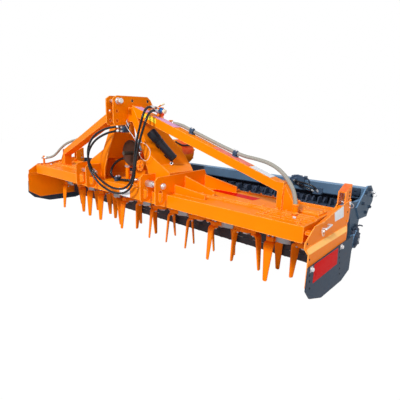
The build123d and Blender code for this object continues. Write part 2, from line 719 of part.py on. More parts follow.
# Roller frame: two arms with end plates and bearings, joined by the rear beam
arm_top = depth_pin_z - depth_pin_radius - seat_gap
arm_rows = [(arm_pivot[0], arm_pivot[1] + pivot_eye), (-150.0, arm_top), (-310.0, arm_top),
            (-463.0, 590.0), (-600.0, 590.0), (-600.0, 420.0), (roller_y - 75.0, 290.0),
            (roller_y - 30.0, 222.0), (roller_y + 30.0, 222.0), (roller_y + 75.0, 300.0),
            (-360.0, 480.0), (-150.0, 484.0), (arm_pivot[0], arm_pivot[1] - pivot_eye)]
end_rows = [(-463.0, 544.0), (-681.0, 690.0), (-790.0, 682.0), (-rear_reach, 612.0),
            (-rear_reach, 538.0), (-798.0, 468.0), (-765.0, 423.0), (-565.0, 436.0)]
arm_outer = arm_inner + arm_thickness
with BuildPart() as roller_frame:
    for side in (-1, 1):
        with BuildSketch(sideways(side * arm_inner)):
            Polygon(*side_outline(arm_rows), align=None)
            with Locations((back(arm_pivot[0]), arm_pivot[1])):
                Circle(pivot_eye)
                Circle(pivot_radius + seat_gap, mode=Mode.SUBTRACT)
            with Locations((back(roller_y), roller_radius)):
                Circle(axle_radius + seat_gap, mode=Mode.SUBTRACT)
        extrude(amount=side * arm_thickness)
        with BuildSketch(sideways(side * arm_outer)):
            Polygon(*side_outline(end_rows), align=None)
        extrude(amount=side * end_sheet)
        with BuildSketch(sideways(side * arm_outer)):
            with Locations((back(roller_y), roller_radius)):
                Circle(bearing_flange)
                Circle(axle_radius + seat_gap, mode=Mode.SUBTRACT)
        extrude(amount=side * bearing_reach)
    with BuildSketch(sideways(-arm_outer)):
        with Locations((back(roller_beam_front - roller_beam_depth / 2), sum(roller_beam_z) / 2)):
            Rectangle(roller_beam_depth, roller_beam_z[1] - roller_beam_z[0])
    extrude(amount=2 * arm_outer)
save(roller_frame, "roller_frame")

# Scrapers: a bar under the rear beam with one blade for each gap between the rings
ring_count = int(2 * roller_half // ring_pitch)
ring_places = [ring_pitch * (k - (ring_count - 1) / 2) for k in range(ring_count)]
scraper_angle = radians(38.0)
contact = drum_shell + scraper_gap
blade_y = roller_y - contact * cos(scraper_angle)
blade_z = roller_radius + contact * sin(scraper_angle)
bar_y = roller_beam_front - 74.0
bar_z = roller_beam_z[0]
with BuildPart() as scrapers:
    with BuildSketch(sideways(-(arm_inner - 6.0))):
        with Locations((back(bar_y), bar_z - 20.0)):
            Rectangle(50.0, 40.0)
    extrude(amount=2 * (arm_inner - 6.0))
    blade_starts = [x + (ring_pitch - scraper_width) / 2 for x in ring_places[:-1]]
    with BuildSketch(*[sideways(start) for start in blade_starts]):
        Polygon((back(blade_y), blade_z), (back(bar_y) - 25.0, bar_z - 40.0),
                (back(bar_y) + 15.0, bar_z - 40.0), (back(blade_y - 14.0), blade_z), align=None)
    extrude(amount=scraper_width)
save(scrapers, "scrapers")

# Packer roller: closed drum, toothed rings and axle ends
with BuildPart() as roller:
    with BuildSketch(sideways(-roller_half)):
        with Locations((back(roller_y), roller_radius)):
            Circle(drum_shell)
    extrude(amount=2 * roller_half)
    with BuildSketch(sideways(-(arm_outer + bearing_reach))):
        with Locations((back(roller_y), roller_radius)):
            Circle(axle_radius)
    extrude(amount=2 * (arm_outer + bearing_reach))
    tooth = radians(360.0 / ring_teeth)
    tip_corner = roller_radius / cos(0.16 * tooth)
    star = []
    for k in range(ring_teeth):
        for share, radius in ((-0.42, drum_shell - 4.0), (-0.16, tip_corner), (0.16, tip_corner),
                              (0.42, drum_shell - 4.0)):
            angle = (k + share) * tooth - radians(90.0)
            star.append((back(roller_y) + radius * cos(angle), roller_radius + radius * sin(angle)))
    with BuildSketch(*[sideways(x - ring_thickness / 2) for x in ring_places]):
        Polygon(*star, align=None)
    extrude(amount=ring_thickness)
    with BuildSketch(sideways(-(roller_half - drum_wall))):
        with Locations((back(roller_y), roller_radius)):
            Circle(drum_shell - drum_wall)
    extrude(amount=2 * (roller_half - drum_wall), mode=Mode.SUBTRACT)
save(roller, "roller")

# Document tube on the right leg, with its cap, two pads and a ring at its lower end
leg_along = Vector(leg_knee[0] - leg_top[0], 0, leg_knee[1] - leg_top[1]).normalized()
leg_normal = Vector(-leg_along.Z, 0, leg_along.X)
tube_top, tube_end = (place(*row) for row in document_axis)
tube_run = tube_end - tube_top
with BuildPart() as document_tube:
    for begin, share, radius in ((0.0, 1.0, document_radius), (0.0, 0.33, document_cap),
                                 (0.36, 0.04, document_cap), (0.96, 0.04, document_radius + 3.0)):
        with BuildSketch(Plane(origin=tube_top + tube_run * begin, z_dir=tube_run)):
            Circle(radius)
        extrude(amount=tube_run.length * share)
    for share in (0.45, 0.8):
        middle = tube_top + tube_run * share
        seat = middle - leg_normal * (middle - Vector(leg_top[0], 0, leg_top[1])).dot(leg_normal)
        with BuildSketch(Plane(origin=seat, z_dir=leg_normal)):
            Rectangle(34.0, 34.0)
        extrude(amount=(middle - seat).length)
save(document_tube, "document_tube")

# Tubes of the hoses and the conduits, with the corners eased by tangent arcs
routes = {
    "hose_one": (hose_radius, hose_one_rows),
    "hose_two": (hose_radius, hose_two_rows),
    "centre_hose": (centre_hose_radius, centre_hose_rows),
    "conduit_right": (conduit_radius, conduit_right_rows),
    "conduit_left": (conduit_radius, conduit_left_rows),
    "roller_hose_one": (roller_hose_radius, roller_hose_one_rows),
    "roller_hose_two": (roller_hose_radius, roller_hose_two_rows),
}
tubes = {}
for name, (radius, rows) in routes.items():
    tubes[name] = tube_along(name, radius, rows)
for node in ("hose_one", "hose_two", "centre_hose", "roller_hose_one", "roller_hose_two"):
    with BuildPart() as cord:
        add(tubes[node])
    save(cord, node)
with BuildPart() as conduits:
    add(tubes["conduit_right"])
    add(tubes["conduit_left"])
save(conduits, "conduits")

# Bracket on the right brace and block under the cross plate, where the two long hoses end
with BuildPart() as hose_bracket:
    begin, end = bracket_span
    top_begin, top_end = brace_start[2] + begin * slope, brace_start[2] + end * slope
    with BuildSketch(brace_plane.offset(-bracket_depth)):
        Polygon((begin, top_begin), (end, top_end), (end, top_end + bracket_height),
                (begin, top_begin + bracket_height), align=None)
    extrude(amount=-bracket_sheet)
    for rows in (hose_one_rows, hose_two_rows):
        with BuildSketch(Plane(origin=place(*rows[0]), z_dir=place(*rows[0]) - place(*rows[1]))):
            Circle(coupling_radius)
        extrude(amount=coupling_length)
    block_left, block_right, block_low, block_high, block_front = hose_block
    with BuildSketch(facing(back(leg_front))):
        Polygon((block_left, block_low), (block_right, block_low), (block_right, block_high),
                (block_left, block_high), align=None)
    extrude(amount=block_front - leg_front)
    for rows in (hose_one_rows, hose_two_rows):
        with BuildSketch(Plane(origin=place(*rows[-1]), z_dir=place(*rows[-1]) - place(*rows[-2]))):
            Circle(fitting_radius)
        extrude(amount=fitting_length)
save(hose_bracket, "hose_bracket")

# Column, clamps, stub and lug that hold the centre hose and the conduits
bores = []
for name in ("centre_hose", "conduit_right", "conduit_left"):
    radius, rows = routes[name]
    bores.append(tube_along(name, radius + seat_gap, rows, report=False))
with BuildPart() as brace_clamps:
    tilt = atan(slope)
    for along in clamp_places:
        foot = Vector(along, brace_start[2] + along * slope)
        run = Vector(cos(tilt), sin(tilt)) * clamp_length
        rise = Vector(-sin(tilt), cos(tilt)) * clamp_size
        corners = [foot, foot + run, foot + run + rise, foot + rise]
        with BuildSketch(brace_plane.offset(-(brace_depth - clamp_size))):
            Polygon(*[(c.X, c.Y) for c in corners], align=None)
        extrude(amount=-clamp_size)
    # Gland behind the brace, where the conduit starts
    with BuildSketch(brace_plane.offset(-brace_depth)):
        with Locations((gland_along, brace_start[2] + gland_along * slope - 6.0)):
            Rectangle(44.0, 50.0)
    extrude(amount=-50.0)
with BuildPart() as hose_clamps:
    # Column with its elbow
    column_x, column_ahead = column_place
    for low, high, radius in ((beam_top, 775.0, 20.0), (775.0, 806.0, 16.0)):
        with BuildSketch(Plane.XY.offset(low)):
            with Locations((column_x, back(column_ahead))):
                Circle(radius)
        extrude(amount=high - low)
    with BuildSketch(sideways(column_x)):
        with Locations((back(column_ahead), centre_hose_rows[0][2])):
            Circle(14.0)
    extrude(amount=centre_hose_rows[0][0] - column_x)
    # Block in front of the gearbox with the fitting of the hose's other end
    with BuildSketch(sideways(30.0)):
        Polygon(*side_outline([(242.0, beam_top), (242.0, 622.0), (194.0, 622.0), (194.0, deck),
                               (cover_front, deck), (cover_front, beam_top)]), align=None)
    extrude(amount=54.0)
    end_run = place(*centre_hose_rows[-1]) - place(*centre_hose_rows[-2])
    with BuildSketch(Plane(origin=place(*centre_hose_rows[-1]), z_dir=end_run)):
        Circle(15.0)
    extrude(amount=62.0)
    # Clamp on the beam's top
    with BuildSketch(Plane.XY.offset(beam_top)):
        with Locations((-186.0, back(304.0))):
            Rectangle(34.0, 62.0)
    extrude(amount=42.0)
    # Clamps on the braces, one stub and one lug on the beam
    add(brace_clamps.part)
    mirror(brace_clamps.part, about=Plane.YZ)
    x, ahead, z = conduit_right_rows[-1]
    with BuildSketch(Plane.XY.offset(deck + ridge_height)):
        with Locations((x, back(ahead))):
            Circle(conduit_radius + 4.0)
    extrude(amount=z - deck - ridge_height)
    with BuildSketch(Plane.XY.offset(beam_top)):
        with Locations((x, back((cover_front + ahead + conduit_radius + 4.0) / 2))):
            Rectangle(2 * conduit_radius, ahead + conduit_radius + 4.0 - cover_front)
    extrude(amount=deck + ridge_height - beam_top + 2.0)
    with BuildSketch(Plane.XY.offset(beam_top)):
        with Locations((-1743.0, back(301.0))):
            Rectangle(30.0, 34.0)
    extrude(amount=108.0)
    end_run = place(*conduit_left_rows[-1]) - place(*conduit_left_rows[-2])
    with BuildSketch(Plane(origin=place(*conduit_left_rows[-1]), z_dir=end_run)):
        Circle(13.0)
    extrude(amount=34.0)
    # Bores with a little clearance
    for bore in bores:
        add(bore, mode=Mode.SUBTRACT)
save(hose_clamps, "hose_clamps")

# Valve block on the roller frame's beam, and the block where its two hoses end
with BuildPart() as roller_valve:
    with BuildSketch(sideways(valve_span[0])):
        rear_face = roller_beam_front
        Polygon(*side_outline([(rear_face + 20.0, 633.0), (rear_face + 20.0, 705.0), (rear_face - 50.0, 705.0),
                               (rear_face - 50.0, roller_beam_z[1]), (rear_face, roller_beam_z[1]),
                               (rear_face, 633.0)]), align=None)
    extrude(amount=valve_span[1] - valve_span[0])
    with BuildSketch(sideways(junction_span[0])):
        Polygon(*side_outline([(rear_face + 44.0, 574.0), (rear_face + 44.0, 586.0), (rear_face + 12.0, 586.0),
                               (rear_face + 12.0, 624.0), (rear_face, 624.0), (rear_face, 574.0)]),
                align=None)
    extrude(amount=junction_span[1] - junction_span[0])
    for rows in (roller_hose_one_rows, roller_hose_two_rows):
        for end, neighbour in ((rows[0], rows[1]), (rows[-1], rows[-2])):
            with BuildSketch(Plane(origin=place(*end), z_dir=place(*end) - place(*neighbour))):
                Circle(roller_hose_radius + 3.0)
            extrude(amount=16.0)
save(roller_valve, "roller_valve")
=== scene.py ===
"""Power harrow, 3.5 m wide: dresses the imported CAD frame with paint, fasteners, hoses and fittings.

Metres, +Z up, +X to the machine's right end, -Y towards the tractor.
"""

import bpy
import numpy as np
from bpy.props import FloatProperty, FloatVectorProperty, PointerProperty
from mathutils import Matrix, Vector


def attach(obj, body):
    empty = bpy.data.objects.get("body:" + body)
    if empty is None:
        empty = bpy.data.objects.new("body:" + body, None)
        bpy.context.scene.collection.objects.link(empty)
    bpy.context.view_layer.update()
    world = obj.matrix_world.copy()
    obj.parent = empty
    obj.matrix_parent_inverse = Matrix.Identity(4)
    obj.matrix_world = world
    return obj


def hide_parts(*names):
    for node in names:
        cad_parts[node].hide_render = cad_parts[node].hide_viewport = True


bl_info = {
    "name": "Power harrow dressing",
    "version": (1, 0, 0),
    "blender": (4, 5, 0),
    "location": "3D View > Sidebar > Harrow",
    "description": "Paint, tines, hoses, fasteners and stage of a power harrow",
    "category": "Object",
}

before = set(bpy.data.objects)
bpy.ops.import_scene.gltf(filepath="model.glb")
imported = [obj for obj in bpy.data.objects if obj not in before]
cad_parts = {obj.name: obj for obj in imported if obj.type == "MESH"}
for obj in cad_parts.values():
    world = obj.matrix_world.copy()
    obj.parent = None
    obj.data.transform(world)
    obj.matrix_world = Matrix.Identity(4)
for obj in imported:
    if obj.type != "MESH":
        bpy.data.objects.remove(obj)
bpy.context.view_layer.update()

finishes = {}                 # materials by plain name

MILLIMETRES = 1000            # in one metre
FULL_TURN = 2 * np.pi
RIGHT, LEFT = 1.0, -1.0
UP = np.array([0.0, 0.0, 1.0])
FRONT = np.array([0.0, -1.0, 0.0])
ROTOR_LINE = -0.1855          # Y of the rotors' axes

# Heights and faces that carry small parts, in millimetres
DECK = 573.0                  # top of the trough's cover
RIDGE = 583.0                 # tops of the pressed ridges along the deck's edges
SIDE_HIGH = 1818.0            # outside of a side plate's upper part, from the middle
SIDE_LOW = 1853.0             # outside of a lower deflector plate
ROLLER_END = 1806.0           # outside of a roller end plate

# Routes of the hoses as in the source: X, distance ahead of the rotors' line and Z, in millimetres
HOSE_ONE_ROWS = (
    (302, 290, 1254), (312, 330, 1259), (319, 368, 1247), (327, 400, 1218), (333, 422, 1179),
    (325, 432, 1134), (302, 436, 1068), (276, 438, 986), (258, 440, 894), (248, 443, 792),
    (229, 442, 690), (196, 449, 610), (125, 456, 555), (20, 463, 533), (-95, 471, 545),
    (-210, 480, 586), (-310, 489, 650), (-372, 497, 735), (-388, 500, 832), (-364, 490, 925),
    (-302, 470, 1000), (-215, 440, 1050), (-115, 412, 1078), (-30, 392, 1085))
HOSE_TWO_ROWS = (
    (352, 290, 1226), (359, 330, 1230), (365, 368, 1216), (371, 400, 1187), (376, 424, 1148),
    (367, 436, 1102), (338, 442, 1030), (309, 446, 947), (283, 449, 855), (267, 452, 752),
    (258, 458, 655), (222, 466, 575), (148, 473, 520), (40, 480, 499), (-75, 487, 508),
    (-185, 501, 548), (-280, 512, 615), (-338, 520, 700), (-350, 522, 795), (-325, 512, 880),
    (-270, 486, 955), (-190, 450, 1008), (-100, 415, 1040), (-30, 392, 1050))
CENTRE_HOSE_ROWS = (
    (-132, 240, 790), (-184, 246, 780), (-239, 254, 758), (-289, 264, 722), (-320, 276, 677),
    (-321, 290, 632), (-291, 300, 599), (-234, 304, 581), (-166, 300, 580), (-111, 288, 583),
    (-52, 262, 583), (-19, 240, 588))
CONDUIT_RIGHT_ROWS = (
    (440, 188, 1130), (540, 200, 1126), (654, 205.7, 1087.9), (1110, 143.8, 918.2), (1260, 148, 905),
    (1385, 160, 885), (1490, 178, 838), (1562, 192, 770), (1604, 200, 700), (1613, 202, 640))
CONDUIT_LEFT_ROWS = (
    (-440, 188, 1130), (-540, 200, 1126), (-654, 205.7, 1087.9), (-1110, 143.8, 918.2), (-1240, 155, 892),
    (-1372, 182, 850), (-1472, 203, 790), (-1560, 226, 708), (-1630, 256, 660), (-1705, 285, 650))
ROLLER_HOSE_ONE_ROWS = (
    (1200, -611, 662), (1216, -594, 663), (1256, -586, 661), (1312, -585, 656), (1368, -588, 648),
    (1414, -596, 626), (1434, -602, 592))
ROLLER_HOSE_TWO_ROWS = (
    (1240, -611, 644), (1256, -598, 641), (1290, -591, 632), (1338, -589, 618), (1378, -594, 606),
    (1396, -601, 592))


def at(x, ahead, z):
    """Point in metres from X, the distance ahead of the rotors' line and Z, all in millimetres."""
    return np.array([x / MILLIMETRES, ROTOR_LINE - ahead / MILLIMETRES, z / MILLIMETRES])


def route(rows):
    """Points in metres from a table of rows."""
    return np.array([at(*row) for row in rows])


def unit(vector):
    """The same direction with length one."""
    vector = np.asarray(vector, dtype=float)
    return vector / np.linalg.norm(vector)


STEEP = 0.9                   # a unit vector with more than this in Z counts as upright


def across(direction):
    """Two directions square to the given one and to each other."""
    direction = unit(direction)
    helper = UP if abs(direction[2]) < STEEP else np.array([1.0, 0.0, 0.0])
    first = unit(np.cross(helper, direction))
    return first, np.cross(direction, first)


def eased(start, corner, end, count=7):
    """Quadratic arc from start to end that is drawn towards a corner."""
    start, corner, end = (np.asarray(point, dtype=float) for point in (start, corner, end))
    share = np.linspace(0, 1, count)[:, None]
    return (1 - share) ** 2 * start + 2 * share * (1 - share) * corner + share ** 2 * end


# A thin plate's edge: share of its width over which it rises, and share of its height at the rim
FALL_SHARE, RIM_SHARE = 0.12, 0.15


class Shell:
    """Collects surfaces for one mesh; each surface keeps its own finish."""

    def __init__(self, *names):
        """Takes the names of its finishes; the first is for surfaces that name none."""
        self.names = names
        self.blocks = []
        self.faces = []
        self.numbers = []
        self.places = []
        self.count = 0

    def grid(self, points, around=True, caps=True, finish=None, turned_in=False):
        """Quads between neighbouring sections of a (sections, points, 3) array.

        Each section runs anticlockwise seen against the direction in which the sections advance.
        """
        sections, ring, _ = points.shape
        rows = np.arange(sections - 1)[:, None] * ring
        columns = np.arange(ring if around else ring - 1)[None, :]
        following = (columns + 1) % ring
        corner = self.count + rows + columns
        beside = self.count + rows + following
        quads = np.stack([corner, beside, beside + ring, corner + ring], axis=-1).reshape(-1, 4)
        faces = quads.tolist()
        if around and caps:
            first = list(range(self.count, self.count + ring))
            last = list(range(self.count + (sections - 1) * ring, self.count + sections * ring))
            faces.append(first[::-1])
            faces.append(last)
        if turned_in:
            faces = [face[::-1] for face in faces]
        self.blocks.append(points.reshape(-1, 3))
        self.faces.extend(faces)
        self.numbers.extend([self.names.index(finish or self.names[0])] * len(faces))
        along, round_it = np.meshgrid(np.linspace(0, 1, sections), np.linspace(0, 1, ring), indexing="ij")
        self.places.append(np.stack([along, round_it], axis=-1).reshape(-1, 2))
        self.count += sections * ring

    def turned(self, start, direction, rows, sides=24, finish=None, corners=0):
        """A profile of (along, radius) rows carried round an axis.

        With corners, the radius follows a polygon: the flat's distance over the cosine from its middle.
        """
        start = np.asarray(start, dtype=float)
        direction = unit(direction)
        first, second = across(direction)
        angle = np.linspace(0, FULL_TURN, sides, endpoint=False)
        shape = np.ones(sides)
        if corners:
            part = FULL_TURN / corners
            shape = 1 / np.cos((angle + part / 2) % part - part / 2)
        rows = np.asarray(rows, dtype=float)
        circle = shape[:, None] * (np.cos(angle)[:, None] * first + np.sin(angle)[:, None] * second)
        points = start + rows[:, 0, None, None] * direction + rows[:, 1, None, None] * circle
        self.grid(points, finish=finish)

    def carried(self, path, section, up=UP, finish=None, scale=None, closed=False):
        """A section of (side, rise) pairs carried along a path, with its rise kept towards up."""
        path = np.asarray(path, dtype=float)
        section = np.asarray(section, dtype=float)
        if closed:
            ahead = np.roll(path, -1, axis=0) - np.roll(path, 1, axis=0)
        else:
            ahead = np.gradient(path, axis=0)
        ahead /= np.linalg.norm(ahead, axis=1)[:, None]
        side = np.cross(np.asarray(up, dtype=float), ahead)
        side /= np.linalg.norm(side, axis=1)[:, None]
        rise = np.cross(ahead, side)
        size = np.ones(len(path)) if scale is None else np.asarray(scale, dtype=float)
        flat = section[None, :, 0, None] * side[:, None, :] + section[None, :, 1, None] * rise[:, None, :]
        points = path[:, None, :] + size[:, None, None] * flat
        if closed:
            points = np.concatenate([points, points[:1]])
        self.grid(points, finish=finish, caps=not closed)

    def patch(self, corners, thickness, finish=None, steps=(13, 7)):
        """A thin plate on four corners: bilinear between them, its height falling off near the edges.

        The corners run anticlockwise seen from outside.
        """
        a, b, c, d = (np.asarray(corner, dtype=float) for corner in corners)
        u = np.linspace(0, 1, steps[0])[:, None, None]
        v = np.linspace(0, 1, steps[1])[None, :, None]
        base = (1 - u) * (1 - v) * a + u * (1 - v) * b + u * v * c + (1 - u) * v * d
        normal = unit(np.cross(b - a, d - a))
        nearest = np.minimum(np.minimum(u, 1 - u), np.minimum(v, 1 - v))
        height = thickness * np.clip(nearest / FALL_SHARE + RIM_SHARE, 0, 1)
        top = base + height * normal
        self.grid(top.transpose(1, 0, 2), around=False, finish=finish)

    def placed(self, name, smooth=40.0):
        """Object of the collected surfaces with its materials; faces within an angle shade as one."""
        mesh = bpy.data.meshes.new(name)
        mesh.from_pydata(np.concatenate(self.blocks), [], self.faces)
        for finish in self.names:
            mesh.materials.append(finishes[finish])
        mesh.polygons.foreach_set("material_index", self.numbers)
        uv = mesh.uv_layers.new(name="lay")
        places = np.concatenate(self.places)
        corners = np.empty(len(mesh.loops), dtype=np.int32)
        mesh.loops.foreach_get("vertex_index", corners)
        uv.data.foreach_set("uv", places[corners].ravel())
        mesh.polygons.foreach_set("use_smooth", [True] * len(mesh.polygons))
        mesh.validate()
        mesh.set_sharp_from_angle(angle=np.radians(smooth))
        mesh.update()
        placed = bpy.data.objects.new(name, mesh)
        bpy.context.scene.collection.objects.link(placed)
        return placed

    def made(self, name, body="frame", smooth=40.0):
        """The placed object as a piece that rides on a body."""
        piece = self.placed(name, smooth)
        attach(piece, body)
        return piece


class Signal:
    """A socket in a node tree on which plain arithmetic adds Math nodes."""

    def __init__(self, tree, socket):
        self.tree = tree
        self.socket = socket

    def math(self, operation, other=None, swapped=False, clamp=False):
        """Math node on this value and, where it takes two, on another value or a number."""
        node = self.tree.nodes.new("ShaderNodeMath")
        node.operation = operation
        node.use_clamp = clamp
        for socket, value in zip(node.inputs, (other, self) if swapped else (self, other)):
            if isinstance(value, Signal):
                self.tree.links.new(value.socket, socket)
            elif value is not None:
                socket.default_value = value
        return Signal(self.tree, node.outputs[0])

    def __add__(self, other):
        return self.math("ADD", other)

    def __radd__(self, other):
        return self.math("ADD", other, swapped=True)

    def __sub__(self, other):
        return self.math("SUBTRACT", other)

    def __rsub__(self, other):
        return self.math("SUBTRACT", other, swapped=True)

    def __mul__(self, other):
        return self.math("MULTIPLY", other)

    def __rmul__(self, other):
        return self.math("MULTIPLY", other, swapped=True)

    def clipped(self):
        """The value kept between 0 and 1."""
        return self.math("ADD", 0.0, clamp=True)

    def wave(self):
        """Sine of the value."""
        return self.math("SINE")

    def size(self):
        """The value without its sign."""
        return self.math("ABSOLUTE")

    def larger(self, other):
        """The larger of two values."""
        return self.math("MAXIMUM", other)


class Nodes:
    """A node tree, to which one method adds every node that isn't plain arithmetic."""

    def __init__(self, tree):
        self.tree = tree
        tree.nodes.clear()

    def fill(self, socket, value):
        """Links a value to a socket, or writes a constant on it; a colour gets full alpha."""
        if isinstance(value, Signal):
            self.tree.links.new(value.socket, socket)
        else:
            socket.default_value = (*value, 1.0) if socket.type == "RGBA" else value

    def node(self, kind, settings=None, output=0, **values):
        """Any node: its type, its settings, and the values or links of its sockets.

        A socket goes by its name, with _ for a space, or by its number after a _.
        """
        node = self.tree.nodes.new(kind)
        for name, value in (settings or {}).items():
            setattr(node, name, value)
        for name, value in values.items():
            self.fill(node.inputs[int(name[1:]) if name[0] == "_" else name.replace("_", " ")], value)
        return Signal(self.tree, node.outputs[output]) if node.outputs else None


class Finish(Nodes):
    """A material under construction: its nodes, its shader and its coordinates."""

    def __init__(self, name):
        self.material = bpy.data.materials.new(name)
        self.material.use_nodes = True
        super().__init__(self.material.node_tree)
        self.shader = self.node("ShaderNodeBsdfPrincipled")

    def done(self, surface=None):
        """The material, which shows its shader or the surface given."""
        self.node("ShaderNodeOutputMaterial", Surface=surface or self.shader)
        return self.material

    def set(self, name, value):
        """A socket of the shader: a number, a colour or a link."""
        self.fill(self.shader.socket.node.inputs[name], value)

    def places(self, kind="Object"):
        """Object coordinates, or the piece's own lay of its surface with kind UV."""
        return self.node("ShaderNodeTexCoord", output=kind)

    def normal(self):
        """Direction that the surface faces."""
        return self.node("ShaderNodeNewGeometry", output="Normal")

    def split(self, vector, axis):
        """The X, Y or Z part of a vector."""
        return self.node("ShaderNodeSeparateXYZ", output=axis, Vector=vector)

    def noise(self, scale, detail=4.0, roughness=0.55, stretch=None):
        """Cloudy noise at so many cells a metre, stretched along the axes if wanted."""
        vector = self.places()
        if stretch:
            vector = self.node("ShaderNodeMapping", Vector=vector, Scale=stretch)
        return self.node("ShaderNodeTexNoise", output="Fac", Vector=vector, Scale=scale, Detail=detail,
                         Roughness=roughness)

    def blend(self, share, low, high):
        """Colour between two, by a share: sockets 0, 6 and 7 and output 2 are those for colours."""
        return self.node("ShaderNodeMix", {"data_type": "RGBA"}, output=2, _0=share, _6=low, _7=high)

    def steps(self, value, low, high):
        """Share from 0 to 1 as the value goes from low to high."""
        return self.node("ShaderNodeMapRange", Value=value, From_Min=low, From_Max=high)

    def edges(self, radius, low, high):
        """Share that rises at edges, from 1 minus the dot product of the rounded and the true normal."""
        rounded = self.node("ShaderNodeBevel", {"samples": 6}, output="Normal", Radius=radius)
        along = self.node("ShaderNodeVectorMath", {"operation": "DOT_PRODUCT"}, output="Value",
                          _0=rounded, _1=self.normal())
        return self.steps(1.0 - along, low, high)

    def scratches(self):
        """Share of thin scratches: the ridges of a fine noise that is drawn out along X."""
        ridges = self.noise(26.0, detail=9.0, roughness=0.75, stretch=(0.35, 1.0, 1.3))
        return self.steps(ridges, 0.63, 0.74)

    def relief(self, height, strength=0.3, distance=0.001):
        """Bump from a height."""
        self.set("Normal", self.node("ShaderNodeBump", output="Normal", Height=height, Strength=strength,
                                     Distance=distance))


# Finishes

SCUFF = (0.90, 0.48, 0.20)               # orange paint rubbed pale
EDGE_HIGHLIGHT_AND_WEAR = (1.0, 0.54, 0.16)            # painted highlight along edges, and edge worn to the primer
GRIME = (0.40, 0.14, 0.01)               # dirt low down on orange
RUST_STAIN = (0.20, 0.15, 0.10)
SCRATCH = (0.45, 0.47, 0.5)              # scratch in dark paint
ARM_SCRATCH = (0.30, 0.34, 0.40)
DRY_SOIL = (0.17, 0.11, 0.07)
DARK_SOIL = (0.10, 0.075, 0.055)
# colour of the painted highlight on the levelling bar's wear strip
GLINT_COLOUR = (0.42, 0.42, 0.44)
BRAID_DUST = (0.42, 0.36, 0.28)
LABEL_DIRT = (0.75, 0.42, 0.2)
RUBBER, RUBBER_BLOOM = (0.004, 0.004, 0.006), (0.016, 0.018, 0.022)

GLINT_LINE_HEIGHT = 0.1845                       # height of the painted highlight line along the levelling bar's wear strip
ARM_BORDER = ROTOR_LINE + 0.155          # Y where the roller arms' orange ends
RINGS_ALONG = 1900.0                     # radians of the wrapped marks over a hose's length


def shade(colour, factor, lift=0.0):
    """A colour times a factor, with the same lift for each part."""
    return tuple(min(1.0, factor * part + lift) for part in colour)


def orange_paint(name, base, wear=0.5, dust=0.35):
    """Gloss orange paint: cloudy tint, dust and pale scuffs on faces that look up, and pale edges that are a
    painted highlight and wear.

    Dust share: how far the face looks up, times cloudy noise. Scuffs: thin ridges of stretched noise.
    Edge share: how far the surface turns within 7 mm, broken up by fine noise; the pale edge colour is a
    painted highlight as well as rubbed wear.
    """
    finish = Finish(name)
    cloud = finish.noise(3.2, detail=5.0)
    fine = finish.noise(38.0, detail=3.0)
    upward = finish.steps(finish.split(finish.normal(), "Z"), 0.35, 0.95)
    scuff = finish.steps(finish.noise(9.0, detail=8.0, roughness=0.72, stretch=(0.5, 1.6, 1.0)), 0.60, 0.74)
    deep = (0.90 * base[0], 0.86 * base[1], 0.9 * base[2])
    pale = (base[0], base[1] * 1.42 + 0.02, base[2] + 0.004)
    colour = finish.blend(finish.steps(cloud, 0.25, 0.75), deep, base)
    colour = finish.blend((upward * cloud * dust * 1.3).clipped(), colour, pale)
    colour = finish.blend((upward * scuff * wear).clipped(), colour, SCUFF)
    # Pale edges: painted highlight along convex edges, partly wear to the primer
    edge = finish.edges(0.007, 0.01, 0.10) * finish.steps(fine, 0.30, 0.55) * wear * 1.5
    colour = finish.blend(edge.clipped(), colour, EDGE_HIGHLIGHT_AND_WEAR)
    low = finish.steps(finish.split(finish.places(), "Z"), 0.45, 0.05)
    colour = finish.blend((low * finish.steps(cloud, 0.35, 0.7) * 0.35).clipped(), colour, GRIME)
    finish.set("Base Color", colour)
    finish.set("Roughness", (0.27 + 0.16 * cloud + 0.25 * upward * dust + 0.2 * scuff * wear).clipped())
    finish.set("Specular IOR Level", 0.05)
    finish.relief(0.6 * finish.noise(160.0, detail=2.0) + 0.5 * cloud, strength=0.10, distance=0.0015)
    return finish.done()


def steel(name, base, roughness=0.3, stained=0.35):
    """Plated or machined steel: fine turning lines, dull clouds and a few brown stains."""
    finish = Finish(name)
    cloud = finish.noise(14.0, detail=5.0)
    lines = finish.noise(420.0, detail=2.0, stretch=(1.0, 0.15, 0.15))
    spots = finish.steps(finish.noise(60.0, detail=6.0, roughness=0.7), 0.56, 0.72)
    colour = finish.blend(cloud, shade(base, 0.72), base)
    finish.set("Base Color", finish.blend((spots * stained).clipped(), colour, RUST_STAIN))
    finish.set("Metallic", (1.0 - 0.5 * spots * stained).clipped())
    finish.set("Roughness", (roughness + 0.22 * cloud + 0.12 * lines).clipped())
    finish.relief(lines + 0.6 * cloud, strength=0.12, distance=0.0006)
    return finish.done()


def plain_paint(name, base, gloss=0.38, pale=SCRATCH, scuffed=0.5, soil=0.0):
    """Dark or blue-grey paint: clouds, worn pale scratches and edges and, low down, dry soil."""
    finish = Finish(name)
    cloud = finish.noise(5.0, detail=6.0)
    scratch = finish.scratches()
    edge = (finish.edges(0.003, 0.02, 0.16) * finish.steps(cloud, 0.40, 0.58) * scuffed).clipped()
    colour = finish.blend(finish.steps(cloud, 0.3, 0.7), shade(base, 0.75), base)
    colour = finish.blend((scratch * scuffed * 0.6).clipped(), colour, pale)
    colour = finish.blend((0.7 * edge).clipped(), colour, pale)
    if soil:
        low = finish.steps(finish.split(finish.places(), "Z"), 0.55, 0.02)
        crust = finish.steps(finish.noise(17.0, detail=7.0, roughness=0.65), 0.45, 0.66)
        colour = finish.blend((low * crust * soil).clipped(), colour, DRY_SOIL)
    finish.set("Base Color", colour)
    finish.set("Roughness", (gloss + 0.2 * cloud + 0.25 * scratch).clipped())
    finish.set("Specular IOR Level", 0.12)
    finish.relief(cloud + 0.5 * finish.noise(150.0, detail=2.0), strength=0.14, distance=0.0015)
    return finish.done()


